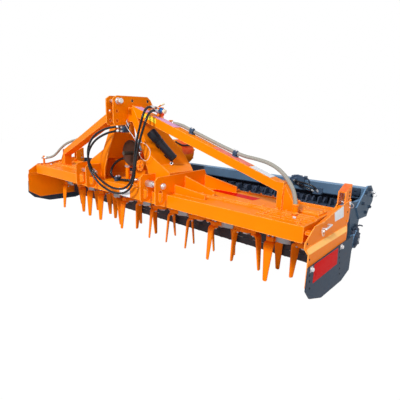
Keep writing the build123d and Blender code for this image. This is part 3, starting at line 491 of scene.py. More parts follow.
def level_paint(name, base):
    """Near-black paint with dry soil streaks and a painted highlight, broken up, along the top edge of the
    wear strip.
    """
    finish = Finish(name)
    height = finish.split(finish.places(), "Z")
    cloud = finish.noise(4.0, detail=6.0, stretch=(0.5, 1.0, 2.5))
    broken = finish.steps(finish.noise(7.0, detail=3.0), 0.50, 0.56)
    on_glint_line = 1.0 - finish.steps((height - GLINT_LINE_HEIGHT).size(), 0.0015, 0.004)
    colour = finish.blend(finish.steps(cloud, 0.3, 0.7), base, shade(base, 1.5, 0.004))
    soil = finish.steps(finish.noise(30.0, detail=7.0, roughness=0.7), 0.58, 0.72)
    colour = finish.blend((0.35 * soil).clipped(), colour, DARK_SOIL)
    # Painted highlight: a pale broken line where the wear strip's top edge would catch the light
    colour = finish.blend((on_glint_line * broken * 0.75).clipped(), colour, GLINT_COLOUR)
    finish.set("Base Color", colour)
    finish.set("Roughness", (0.5 + 0.25 * cloud).clipped())
    finish.relief(cloud + 0.4 * soil, strength=0.15, distance=0.002)
    return finish.done()


def arm_paint(name, base, front_colour):
    """Blue-grey paint with clouds, painted light on faces that look up and painted shade on faces that look
    along X, and orange in front of a border.
    """
    finish = Finish(name)
    cloud = finish.noise(5.0, detail=6.0)
    scratch = finish.scratches()
    behind = finish.steps(finish.split(finish.places(), "Y"), ARM_BORDER - 0.002, ARM_BORDER + 0.002)
    colour = finish.blend(finish.steps(cloud, 0.3, 0.7), shade(base, 0.75), base)
    colour = finish.blend((scratch * 0.3).clipped(), colour, ARM_SCRATCH)
    normal = finish.normal()
    upward = finish.steps(finish.split(normal, "Z"), 0.2, 0.8)
    painted_side_shade = finish.steps(finish.split(normal, "X").size(), 0.4, 0.9)
    # Painted light and shade: a lighter copy on faces that look up, a darker one on faces that look along X
    colour = finish.blend(upward, colour, shade(base, 1.5))
    colour = finish.blend(painted_side_shade, colour, shade(base, 0.42))
    front = finish.blend(cloud, shade(front_colour, 0.9), front_colour)
    finish.set("Base Color", finish.blend(behind, front, colour))
    finish.set("Roughness", (0.38 + 0.2 * cloud + 0.25 * scratch).clipped())
    finish.set("Specular IOR Level", 0.12)
    finish.relief(cloud + 0.5 * finish.noise(150.0, detail=2.0), strength=0.14, distance=0.0015)
    return finish.done()


def moulded(name, base, gloss=0.45, strength=0.25):
    """Moulded plastic or rubber: fine grain, slight bloom and dust in clouds."""
    finish = Finish(name)
    cloud = finish.noise(12.0, detail=5.0)
    finish.set("Base Color", finish.blend(finish.steps(cloud, 0.35, 0.8), base, shade(base, 1.4, 0.008)))
    finish.set("Roughness", (gloss + 0.25 * cloud).clipped())
    finish.set("Specular IOR Level", 0.22)
    finish.relief(finish.noise(260.0, detail=3.0), strength=strength, distance=0.0006)
    return finish.done()


def hose_rubber(name):
    """Hose cover: wrapped fabric marks as fine rings along the hose, dull black with grey bloom."""
    finish = Finish(name)
    cloud = finish.noise(16.0, detail=5.0)
    rings = (finish.split(finish.places("UV"), "X") * RINGS_ALONG).wave()
    finish.set("Base Color", finish.blend(finish.steps(cloud, 0.4, 0.75), RUBBER, RUBBER_BLOOM))
    finish.set("Roughness", (0.16 + 0.22 * cloud).clipped())
    finish.set("Specular IOR Level", 0.3)
    finish.relief(0.5 * rings + finish.noise(300.0), strength=0.12, distance=0.0005)
    return finish.done()


def braided(name, base, length_cells, round_cells):
    """Braided sleeve: two crossed sets of ribbons, each a sine over the sum or difference of the lay."""
    finish = Finish(name)
    lay = finish.places("UV")
    along = finish.split(lay, "X") * (FULL_TURN * length_cells)
    around = finish.split(lay, "Y") * (FULL_TURN * round_cells)
    weave = (0.5 + 0.25 * (along + around).wave() + 0.25 * (along - around).wave()).clipped()
    cloud = finish.noise(11.0, detail=5.0)
    colour = finish.blend(weave, shade(base, 0.42), base)
    finish.set("Base Color", finish.blend(finish.steps(cloud, 0.5, 0.8) * 0.5, colour, BRAID_DUST))
    finish.set("Roughness", (0.62 + 0.2 * cloud).clipped())
    finish.relief(weave, strength=0.5, distance=0.0012)
    return finish.done()


def sticker(name, base, fade, fading=0.25, rub=0.1):
    """Blank plate or label: even colour that is rubbed and sun-bleached in clouds."""
    finish = Finish(name)
    cloud = finish.noise(22.0, detail=6.0)
    rubbed = finish.steps(finish.noise(70.0, detail=7.0, roughness=0.7), 0.58, 0.70)
    colour = finish.blend(finish.steps(cloud, 0.35, 0.75) * fading, base, fade)
    finish.set("Base Color", finish.blend((rubbed * rub).clipped(), colour, LABEL_DIRT))
    finish.set("Roughness", (0.32 + 0.25 * cloud).clipped())
    finish.set("Specular IOR Level", 0.03)
    finish.relief(cloud, strength=0.08, distance=0.001)
    return finish.done()


def mix_finishes():
    """All the finishes of the machine, by their plain names."""
    paint = bpy.context.scene.harrow_paint
    orange, blue_grey = tuple(paint.orange), tuple(paint.blue_grey)
    finishes.update({
        "orange": orange_paint("orange_paint", orange),
        "cast": orange_paint("orange_castings", shade(orange, 0.93), wear=0.3, dust=0.5),
        "tine": orange_paint("tine_paint", orange, wear=0.25, dust=0.2),
        "bright": steel("bright_steel", (0.80, 0.81, 0.83), roughness=0.22, stained=0.2),
        "worn": steel("worn_steel", (0.50, 0.50, 0.52), roughness=0.35, stained=0.6),
        "guard": steel("guard_steel", (0.36, 0.37, 0.39), roughness=0.4, stained=0.5),
        "shaft": steel("shaft_steel", (0.13, 0.11, 0.09), roughness=0.45, stained=0.7),
        "blue_trim": plain_paint("trim_paint", (0.022, 0.038, 0.066), pale=(0.16, 0.19, 0.24), scuffed=0.3),
        "arm": arm_paint("roller_arm_paint", blue_grey, orange),
        "dark": plain_paint("roller_paint", tuple(paint.roller_dark), soil=0.6),
        "deflector": plain_paint("deflector_paint", tuple(paint.deflector), scuffed=0.35),
        "clamp": plain_paint("clamp_paint", (0.055, 0.095, 0.16), gloss=0.3, scuffed=0.3),
        "light_blue": plain_paint("light_blue_rod", (0.30, 0.42, 0.55), gloss=0.3),
        "level": level_paint("levelling_paint", (0.020, 0.021, 0.030)),
        "brown": moulded("brown_plastic", (0.045, 0.011, 0.002), gloss=0.5),
        "black": moulded("black_plastic", (0.008, 0.010, 0.016), gloss=0.32, strength=0.12),
        "blue_cap": moulded("blue_cap", (0.01, 0.14, 0.45), gloss=0.3),
        "cream": moulded("cream_plastic", (0.80, 0.62, 0.42), gloss=0.4),
        "red_ring": moulded("red_ring", (0.70, 0.02, 0.02), gloss=0.35),
        "wire": moulded("white_wire", (0.62, 0.58, 0.50), gloss=0.35),
        "shadow": moulded("hole_shade", (0.004, 0.004, 0.005), gloss=0.7),
        "rubber": hose_rubber("hose_cover"),
        "braid": braided("conduit_braid", (0.42, 0.40, 0.35), 260.0, 9.0),
        "red": sticker("red_plate", (0.62, 0.0, 0.0), (0.66, 0.012, 0.012), fading=0.3, rub=0.05),
        "white": sticker("white_label", (0.78, 0.79, 0.82), (0.55, 0.56, 0.60)),
        "yellow": sticker("yellow_label", (0.90, 0.62, 0.02), (0.95, 0.75, 0.25)),
        "pink": sticker("pink_label", (0.66, 0.30, 0.52), (0.80, 0.50, 0.66), fading=0.5, rub=0.05),
        "coral": sticker("coral_label", (0.82, 0.16, 0.12), (0.88, 0.42, 0.34), fading=0.5, rub=0.05),
        "drum_red": sticker("drum_patch", (0.78, 0.065, 0.012), (0.85, 0.22, 0.08), fading=0.6),
        # Pale sheet on the side plates' folds: a painted reflection of the sky
        "painted_sheen": sticker("fold_film", (0.90, 0.46, 0.15), (0.86, 0.58, 0.16), fading=0.9, rub=0.0),
        "tint": sticker("red_tint", (0.86, 0.13, 0.03), (0.92, 0.35, 0.12), fading=0.6, rub=0.2),
    })


NODE_FINISHES = {
    "bearing_housings": "cast", "gearbox": "cast", "gearbox_drum": "cast", "stone_guards": "guard",
    "top_link_pin": "bright", "lower_link_pins": "bright", "depth_pins": "bright", "input_shaft": "shaft",
    "shaft_shield": "brown", "document_tube": "black", "side_deflectors": "deflector",
    "levelling_bar": "level", "hose_bracket": "clamp", "hose_clamps": "clamp", "roller_valve": "clamp",
    "conduits": "braid", "hose_one": "rubber", "hose_two": "rubber", "centre_hose": "rubber",
    "roller_hose_one": "rubber", "roller_hose_two": "rubber", "roller_frame": "arm",
    "scrapers": "dark", "roller": "dark",
}


def paint_nodes():
    """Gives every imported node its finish; those not listed are orange, the rotors with less wear."""
    for name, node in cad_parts.items():
        plain = "tine" if name.startswith("rotor_") else "orange"
        node.data.materials.clear()
        node.data.materials.append(finishes[NODE_FINISHES.get(name, plain)])


# Shapes that several pieces share

ROUND = 16                    # points of a round section
HEX = 12                      # sides of a turned shape with six flats, two to a flat

# Bolt heads, as shares of the width over the flats
WASHER_RISE, WASHER_TOP = 0.12, 0.9
HEAD_FLATS, HEAD_CREST = 0.94, 0.74
HEAD_FOOT = 0.10
STUD_START = 0.7
STUD_ROWS = ((0.0, 0.29), (0.28, 0.29), (0.36, 0.2))


def circle_section(radius, points=ROUND):
    """Circle as (side, rise) pairs."""
    angle = np.linspace(0, FULL_TURN, points, endpoint=False)
    return np.stack([radius * np.cos(angle), radius * np.sin(angle)], axis=1)


def round_spots(middle, level, radius, count, start=0.0):
    """Places spread evenly round a middle, in the plane of a level direction and the upright one."""
    level = np.asarray(level, dtype=float)
    return [middle + radius * (np.cos(angle) * level + np.sin(angle) * UP)
            for angle in FULL_TURN * np.arange(count) / count + start]


def bolt(shell, place, direction, size, finish=None, washer=1.28, height=0.65):
    """Hexagon bolt head on a washer: a profile with six flats, its top edge drawn in as a cone."""
    half = size / 2
    rise = WASHER_RISE * size
    shell.turned(place, direction, ((0.0, half * washer), (rise, half * washer), (rise, half * WASHER_TOP)),
                 sides=HEX, finish=finish)
    top = (WASHER_RISE + height) * size
    flats = half * HEAD_FLATS
    shell.turned(place, direction, ((HEAD_FOOT * size, flats), (top - rise, flats), (top, half * HEAD_CREST)),
                 sides=HEX, finish=finish, corners=6)


def nut(shell, place, direction, size, finish=None):
    """Hexagon nut with the rounded end of its bolt standing out."""
    bolt(shell, place, direction, size, finish=finish, height=0.6)
    shell.turned(np.asarray(place) + STUD_START * size * unit(direction), direction,
                 [(along * size, radius * size) for along, radius in STUD_ROWS], sides=HEX, finish=finish)


WELD_STEP = 4.0               # millimetres between the sections of a bead
RIPPLE = 9.0                  # millimetres from one swell of a bead to the next


def weld(shell, start, end, radius):
    """Weld bead: a small round section along a line, swelling by a sine about every 9 mm."""
    length = np.linalg.norm(end - start)
    share = np.linspace(0, 1, max(6, int(length * MILLIMETRES / WELD_STEP)))
    path = start + share[:, None] * (end - start)
    swell = 1.0 + 0.18 * np.sin(share * length * MILLIMETRES / RIPPLE * FULL_TURN)
    up = UP if abs(unit(end - start)[2]) < STEEP else -FRONT
    shell.carried(path, circle_section(radius, 6), up=up, scale=swell)


def rod(shell, points, radius, finish=None, bend=0.35, points_round=10):
    """Bent rod or wire: a circle along a line whose corners are eased by quadratic arcs."""
    points = np.asarray(points, dtype=float)
    arcs = [eased(corner + bend * (before - corner), corner, corner + bend * (after - corner))
            for before, corner, after in zip(points, points[1:], points[2:])]
    path = np.concatenate([points[:1], *arcs, points[-1:]])
    up = np.eye(3)[int(np.argmin(np.ptp(path, axis=0)))]
    shell.carried(path, circle_section(radius, points_round), up=up, finish=finish)


def ring(shell, middle, axis, radius, thickness, finish=None, count=28):
    """Closed ring of wire: a small circle carried round a large one."""
    first, second = across(axis)
    angle = np.linspace(0, FULL_TURN, count, endpoint=False)[:, None]
    path = np.asarray(middle) + radius * (np.cos(angle) * first + np.sin(angle) * second)
    shell.carried(path, circle_section(thickness, 8), up=unit(axis), finish=finish, closed=True)


# A brace's top edge in front: where it starts, its run in plan and its fall along the plan
BRACE_X, BRACE_AHEAD, BRACE_Z = 150, 355, 1255
BRACE_PLAN = np.arctan2(177.0, 1303.0)
BRACE_FALL = 0.3688


def on_brace(along, depth, above, side=RIGHT):
    """Point on a brace: along it, behind its front face and above its top face, in millimetres."""
    x = BRACE_X + along * np.cos(BRACE_PLAN) - depth * np.sin(BRACE_PLAN)
    ahead = BRACE_AHEAD - along * np.sin(BRACE_PLAN) - depth * np.cos(BRACE_PLAN)
    return at(side * x, ahead, BRACE_Z - BRACE_FALL * along + above)


# Rotors: forged holders with two blades each

ROTOR_COUNT = 14
ROTOR_PITCH = 0.25
FIRST_HEADING = 97.0          # degrees to which the first rotor's blades point
HEADING_SUMS = (68.5, 98.7)   # headings of two neighbours add up to one or the other, in turn

# A tine's middle line, as distance from the rotor's axis and height
SEAT_INNER, SEAT_OUTER = (0.060, 0.2925), (0.084, 0.2925)
BEND_CORNER, BEND_END = (0.1085, 0.2915), (0.1125, 0.262)
BLADE_END = (0.1340, 0.010)
TIP_ROWS = ((0.13445, 0.0045), (0.13465, 0.0015), (0.1348, 0.0))

# Half widths and half thicknesses of a tine: at its top and foot, over its seat and over its tip
HALF_WIDTHS = (0.0395, 0.0165)
HALF_THICKS = (0.0085, 0.0060)
TAPER_TOP, TAPER_RUN = 0.285, 0.275    # height where the taper starts, and its length
SEAT_WIDTHS = (0.034, 0.034, 0.037, 0.0385, 0.0395)
TIP_WIDTHS, TIP_THICKS = (0.0145, 0.0115, 0.0065), (0.0054, 0.0042, 0.0024)
SQUARENESS = 0.42             # power that fills a section's ellipse towards a rectangle
CROWN, CROWN_THICK = 0.0022, 0.0072    # how far a face stands out in its middle, at this half thickness

# Holder's outline, and its rows of height and share of the outline
HUB_RADIUS, BAR_LENGTH, BAR_WIDTH, OUTER_REACH = 0.061, 0.099, 0.030, 0.1035
HOLDER_ROWS = ((0.3005, 0.90), (0.302, 0.96), (0.306, 1.0), (0.328, 1.0), (0.334, 0.965), (0.3375, 0.88))
HOLDER_FOOT, HOLDER_TOP = HOLDER_ROWS[0][0], HOLDER_ROWS[-1][0]
BLADE_BASE = 0.2855           # just above the underside of the blades' seats
SOFT_MAX = 8                  # power that rounds the waist between hub and bar

# Two bolts through each blade's seat: distance from the axis of nuts and of heads, half their gap, size
NUT_REACH, HEAD_REACH, HALF_GAP, BLADE_BOLT = 0.078, 0.074, 0.017, 0.018


def facing(heading):
    """Level directions along a heading and square to it."""
    out = np.array([np.cos(heading), np.sin(heading), 0.0])
    return out, np.array([-out[1], out[0], 0.0])


def blade_sections(centre, heading):
    """Sections of one tine from its seat under the holder down to its rounded tip.

    The middle line is a flat seat, then a quadratic bend, then a straight blade; the width falls
    evenly along the blade, the thickness a little, and both close over the tip's last rows.
    """
    drop = np.linspace(0, 1, 9)[1:, None]
    blade = (1 - drop) * np.array(BEND_END) + drop * np.array(BLADE_END)
    line = np.concatenate([[SEAT_INNER, SEAT_OUTER], eased(SEAT_OUTER, BEND_CORNER, BEND_END)[1:], blade,
                           TIP_ROWS])
    along = np.gradient(line, axis=0)
    along /= np.linalg.norm(along, axis=1)[:, None]
    level = np.clip((TAPER_TOP - line[:, 1]) / TAPER_RUN, 0, 1)
    half_width = HALF_WIDTHS[0] * (1 - level) + HALF_WIDTHS[1] * level
    half_thick = HALF_THICKS[0] * (1 - level) + HALF_THICKS[1] * level
    half_width[:len(SEAT_WIDTHS)] = SEAT_WIDTHS
    half_width[-len(TIP_WIDTHS):] = TIP_WIDTHS
    half_thick[-len(TIP_THICKS):] = TIP_THICKS
    angle = np.linspace(0, FULL_TURN, 20, endpoint=False)
    wide = np.sign(np.cos(angle)) * np.abs(np.cos(angle)) ** SQUARENESS
    thick = np.sign(np.sin(angle)) * np.abs(np.sin(angle)) ** SQUARENESS
    crown = CROWN * (1 - np.abs(np.cos(angle)) ** 2) * np.sign(thick)
    out, turn = facing(heading)
    normal = -along[:, 1, None] * out + along[:, 0, None] * UP
    middle = centre + line[:, 0, None] * out + line[:, 1, None] * UP
    rise = half_thick[:, None] * thick + crown * (half_thick / CROWN_THICK)[:, None]
    return (middle[:, None, :] + (half_width[:, None] * wide)[:, :, None] * turn
            + rise[:, :, None] * normal[:, None, :])


def holder_sections(centre, heading):
    """Forged holder: the larger of a hub circle and a long bar, with a soft waist, and eased edges."""
    angle = np.linspace(0, FULL_TURN, 72, endpoint=False)
    bar = np.minimum(BAR_LENGTH / np.maximum(np.abs(np.cos(angle)), 1e-6),
                     BAR_WIDTH / np.maximum(np.abs(np.sin(angle)), 1e-6))
    outline = np.minimum((bar ** SOFT_MAX + HUB_RADIUS ** SOFT_MAX) ** (1 / SOFT_MAX), OUTER_REACH)
    out, turn = facing(heading)
    flat = outline[:, None] * (np.cos(angle)[:, None] * out + np.sin(angle)[:, None] * turn)
    return np.array([centre + share * flat + height * UP for height, share in HOLDER_ROWS])


def make_rotors():
    """One piece for each rotor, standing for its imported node."""
    degrees = FIRST_HEADING
    for k in range(ROTOR_COUNT):
        centre = np.array([ROTOR_PITCH * (k - (ROTOR_COUNT - 1) / 2), ROTOR_LINE, 0.0])
        heading = np.radians(degrees)
        shell = Shell("tine", "worn")
        shell.grid(holder_sections(centre, heading))
        shell.turned(centre + HOLDER_TOP * UP, UP, ((0, .050), (.006, .044), (.010, .0395), (.0505, .0395)),
                     sides=32, finish="worn")
        shell.turned(centre + HOLDER_FOOT * UP, -UP, ((0, .030), (.016, .030), (.021, .024)), sides=HEX,
                     finish="worn", corners=6)
        for way in (heading, heading + np.pi):
            shell.grid(blade_sections(centre, way))
            out, turn = facing(way)
            for step in (-HALF_GAP * turn, HALF_GAP * turn):
                nut(shell, centre + NUT_REACH * out + step + HOLDER_TOP * UP, UP, BLADE_BOLT,
                    finish="worn")
                bolt(shell, centre + HEAD_REACH * out + step + BLADE_BASE * UP, -UP, BLADE_BOLT,
                     finish="worn")
        name = f"rotor_{k + 1:02d}"
        piece = shell.made(f"{name}_forging", body=name, smooth=35.0)
        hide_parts(name)
        degrees = HEADING_SUMS[k % 2] - degrees


# Hoses and conduits


def smooth_route(name, rows):
    """NURBS curve with the route's points as its control points."""
    points = route(rows)
    curve = bpy.data.curves.new(name, "CURVE")
    curve.dimensions = "3D"
    spline = curve.splines.new("NURBS")
    spline.points.add(len(points) - 1)
    spline.points.foreach_set("co", np.column_stack([points, np.ones(len(points))]).ravel())
    spline.order_u = 3
    spline.use_endpoint_u = True
    spline.resolution_u = 10
    return curve


def line_of(curve):
    """Points along a curve with no bevel, read from the mesh that Blender makes of it."""
    probe = bpy.data.objects.new("probe", curve)
    bpy.context.scene.collection.objects.link(probe)
    mesh = bpy.data.meshes.new_from_object(probe)
    points = np.empty(len(mesh.vertices) * 3)
    mesh.vertices.foreach_get("co", points)
    bpy.data.objects.remove(probe)
    bpy.data.meshes.remove(mesh)
    return points.reshape(-1, 3)


HOSES = {
    "hose_one": (HOSE_ONE_ROWS, 0.020, "frame"),
    "hose_two": (HOSE_TWO_ROWS, 0.020, "frame"),
    "centre_hose": (CENTRE_HOSE_ROWS, 0.024, "frame"),
    "roller_hose_one": (ROLLER_HOSE_ONE_ROWS, 0.016, "roller_frame"),
    "roller_hose_two": (ROLLER_HOSE_TWO_ROWS, 0.016, "roller_frame"),
}
# A ferrule's profile: along it, and its radius as a share of the hose's; it starts beyond the end
FERRULE_ROWS = ((0.0, 1.12), (0.003, 1.34), (0.012, 1.34), (0.014, 1.24), (0.017, 1.34), (0.024, 1.34),
                (0.028, 1.14))
FERRULE_START = 0.004


def make_hoses():
    """Each hose as one NURBS line with a round bevel, and its ferrules turned from profiles."""
    for node, (rows, diameter, body) in HOSES.items():
        curve = smooth_route(node + "_line", rows)
        line = line_of(curve)
        curve.bevel_depth = diameter / 2
        curve.bevel_resolution = 5
        curve.use_fill_caps = True
        curve.materials.append(finishes["rubber"])
        hose = bpy.data.objects.new(node + "_cover", curve)
        bpy.context.scene.collection.objects.link(hose)
        ferrules = Shell("bright" if body == "frame" else "guard")
        grip = diameter / 2
        for end, inner in ((line[0], line[2]), (line[-1], line[-3])):
            way = unit(inner - end)
            ferrules.turned(end - FERRULE_START * way, way,
                            [(along, grip * share) for along, share in FERRULE_ROWS])
        fittings = ferrules.made(node + "_ferrules", body=body)
        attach(hose, body)
        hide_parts(node)


SLACK, SLACK_TURNS = 0.015, 70.0    # half of the share by which a sleeve narrows, and radians of it in all


def make_conduits():
    """Braided sleeves: a round section along each conduit's smooth line, with a lay for the weave."""
    shell = Shell("braid")
    section = circle_section(bpy.context.scene.harrow_sizes.sleeve, 20)
    for rows in (CONDUIT_RIGHT_ROWS, CONDUIT_LEFT_ROWS):
        curve = smooth_route("conduit_line", rows)
        line = line_of(curve)
        bpy.data.curves.remove(curve)
        swell = 1.0 - SLACK + SLACK * np.sin(np.linspace(0, 1, len(line)) * SLACK_TURNS)
        shell.carried(line, section, scale=swell)
    piece = shell.made("conduit_sleeves", smooth=60.0)
    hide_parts("conduits")


# Labels and blank plates


LABEL_RISE = 0.0012
DECAL_START, DECAL_END = np.array([730.0, -61.0]), np.array([1197.0, -4.0])    # deck plate: X and ahead
DECAL_HALF = 52.0
DRUM_Z = 835                  # height of the round rear cover's axis
PATCH_RADIUS = 131.2


def handed(corners, side):
    """Corners given for the right side, in the order that faces outwards on the given side."""
    return corners if side > 0 else corners[::-1]


def side_corners(side, x, corners):
    """Places on a face that looks along X, from (ahead, Z) anticlockwise from outside on the right."""
    return handed([at(side * x, ahead, z) for ahead, z in corners], side)


def make_labels():
    """Blank plates and labels in their colours, a painted reflection on the side plates' folds, and the rear
    cover's red patch.
    """
    shell = Shell("red", "white", "yellow", "pink", "coral", "painted_sheen", "drum_red")
    beam_label = ((-42, 462), (112, 462), (112, 532), (-42, 532))
    shell.patch([at(x, 390, z) for x, z in beam_label], LABEL_RISE, "white")
    brace_label = ((92, -46), (236, -46), (236, -9), (92, -9))
    shell.patch([on_brace(along, -1.2, above) for along, above in brace_label], LABEL_RISE, "yellow")
    for low, high, near, far, finish in ((-10, 118, 4, 96, "pink"), (196, 420, 3, 97, "pink"),
                                         (790, 1090, 4, 90, "coral"), (1100, 1262, 4, 96, "white")):
        corners = ((low, near), (high, near), (high, far), (low, far))
        shell.patch([on_brace(along, depth, 1.0) for along, depth in corners], LABEL_RISE, finish)
    run = unit(DECAL_END - DECAL_START)
    square = np.array([-run[1], run[0]]) * DECAL_HALF
    corners = (DECAL_START + square, DECAL_END + square, DECAL_END - square, DECAL_START - square)
    shell.patch([at(x, ahead, DECK) for x, ahead in corners], LABEL_RISE, "red")
    for side in (LEFT, RIGHT):
        plate = ((386, 232), (-14, 236), (2, 357), (390, 355))
        shell.patch(side_corners(side, SIDE_LOW, plate), 0.0018, "red")
        label = ((25, 536), (-140, 538), (-112, 622), (52, 601))
        shell.patch(side_corners(side, SIDE_HIGH, label), LABEL_RISE, "white")
        # Painted reflection on the fold: a pale sheet on the face that looks up and out
        fold = ((1845, 464, 433), (1845, -160, 433), (1819, -230, 460), (1819, 464, 460))
        painted_sheen = [at(side * x, ahead, z) for x, ahead, z in fold]
        shell.patch(handed(painted_sheen, side), LABEL_RISE, "painted_sheen")
    # Red patch on the right of the gearbox's round rear cover: part of a cylinder
    drum = np.array([[at(PATCH_RADIUS * np.cos(a), ahead, DRUM_Z + PATCH_RADIUS * np.sin(a))
                      for ahead in np.linspace(-420.0, -262.0, 9)]
                     for a in np.linspace(np.radians(-6), np.radians(80), 17)])
    shell.grid(drum, around=False, finish="drum_red", turned_in=True)
    shell.made("blank_labels")


# Fasteners and trim


def rounded(width, height, radius, arc=3):
    """Rectangle with round corners, as (side, rise) pairs: a quarter circle about each corner's centre."""
    pairs = []
    for k, (x, y) in enumerate(((1, 1), (-1, 1), (-1, -1), (1, -1))):
        angle = np.linspace(0, np.pi / 2, arc) + k * np.pi / 2
        pairs.append(np.stack([x * (width / 2 - radius) + radius * np.cos(angle),
                               y * (height / 2 - radius) + radius * np.sin(angle)], axis=1))
    return np.concatenate(pairs)


ROUNDEST = 0.3                # largest corner radius of a bar, as a share of its thickness


def block(shell, start, end, width, height, up=UP, finish=None, ease=0.002):
    """Bar between two places: a rectangle with round corners carried along, drawn in at both ends."""
    start, end = np.asarray(start, dtype=float), np.asarray(end, dtype=float)
    way = unit(end - start)
    small = 1 - 2 * ease / min(width, height)
    path = np.array([start, start + ease * way, end - ease * way, end])
    section = rounded(width, height, min(2 * ease, ROUNDEST * min(width, height)))
    shell.carried(path, section, up=up, finish=finish, scale=(small, 1, 1, small))


HOLE_ROWS = ((0.0, 1.18), (0.0006, 1.12), (0.0006, 1.0), (0.0001, 0.94))    # height, share of the radius


def hole(shell, place, direction, radius, finish):
    """Drilled hole: a dark dished disc, painted shade of the hole's depth, inside a thin raised burr."""
    shell.turned(place, direction, [(rise, radius * share) for rise, share in HOLE_ROWS], sides=HEX,
                 finish=finish)


BOLT_ROWS = ((188.0, 112.0), (-158.0, 112.0))    # ahead of the rotors' line, pitch along X
FIRST_BOLT, BOLT_SPAN = 690, 1000                # where the rows start, and how far they may run
PIPE_LEAN = np.radians(33)                       # how far round the rear cover the pipe lies
PIPE_OUT = 140                                   # how far the pipe is from the cover's axis
DEFLECTOR_HOLES = ((446, 303), (436, 262), (424, 214),
                   (-35, 316), (-48, 272), (-66, 226), (-82, 180), (-96, 137))


def make_fasteners():
    """Bolts of the deck, plates on its ends, breather, and the bolts and pipe of the gearbox's covers."""
    shell = Shell("orange", "bright", "black")
    for side in (LEFT, RIGHT):
        for ahead, pitch in BOLT_ROWS:
            for k in range(int(BOLT_SPAN / pitch)):
                bolt(shell, at(side * (FIRST_BOLT + pitch * k), ahead, RIDGE), UP, 0.015)
        # Two plates on the deck's end, the smaller one on top, with bolts
        for near, far, front, rear, rise in ((1592, 1742, 120, -30, 9), (1622, 1728, 96, -8, 17)):
            ends = [at(side * x, (front + rear) / 2, DECK + rise / 2 - 1) for x in (near, far)]
            block(shell, *ends, (front - rear) / MILLIMETRES, rise / MILLIMETRES + 0.002)
        for x in (1606, 1728):
            for ahead in (106, 45, -16):
                bolt(shell, at(side * x, ahead, DECK + 8), UP, 0.016)
        for x in (1470, 1530):
            bolt(shell, at(side * x, 150, DECK), UP, 0.019)
        # Ribs along and across the beam's top near its end
        for ahead in (238, 282, 330):
            block(shell, at(side * 1400, ahead, 567), at(side * 1745, ahead, 567), 0.010, 0.008)
        for x in (1440, 1560, 1690):
            block(shell, at(side * x, 345, 568), at(side * x, 225, 568), 0.014, 0.007)
        bolt(shell, at(side * 1715, 360, 565), UP, 0.024)
        bolt(shell, at(side * 1640, 262, 565), UP, 0.020, finish="bright")
        # Flanges of the gearbox
        for z in (620, 700, 780, 860):
            bolt(shell, at(side * 126, 190, z), FRONT, 0.018)
            bolt(shell, at(side * 140, -150, z + 10), (side, 0, 0), 0.020)
    for x in (-100, -30, 40, 110):
        for ahead in (150, -160):
            bolt(shell, at(x, ahead, 930), UP, 0.018)
    # Breather and filler plug
    shell.turned(at(-820, 20, DECK), UP, ((0, .020), (.008, .020), (.009, .013), (.030, .013), (.032, .021),
                                          (.048, .021), (.056, .012)), sides=20, finish="black")
    bolt(shell, at(-930, 20, DECK), UP, 0.034)
    # Small round cover on the gearbox's front, and the large one behind
    small_cover = at(144, 300, 750)
    for spot in round_spots(small_cover, (1, 0, 0), 0.039, 6, 0.3):
        bolt(shell, spot, FRONT, 0.015)
    bolt(shell, small_cover, FRONT, 0.026)
    for spot in round_spots(at(0, -450, DRUM_Z), (1, 0, 0), 0.112, 8, 0.2):
        bolt(shell, spot, -FRONT, 0.018)
    # Pipe that lies along the round rear cover's right side
    touch = at(PIPE_OUT * np.cos(PIPE_LEAN), 0, DRUM_Z + PIPE_OUT * np.sin(PIPE_LEAN)) - at(0, 0, 0)
    steps = ((-30, -200, 40), (0, -262, 0), (0, -400, 0), (2, -440, -6))
    rod(shell, [touch + at(x, ahead, z) for x, ahead, z in steps], 0.0075, finish="black")
    shell.made("deck_bolts")


PIN_Z, PIN_STEP = 622, 26     # height of the depth pin, and steps to the post's free holes
CAP_WIDTH = 0.052
CAP_LIFT = np.array([0, -0.0002, 0.0006])    # lifts the tint's film over the post's cap


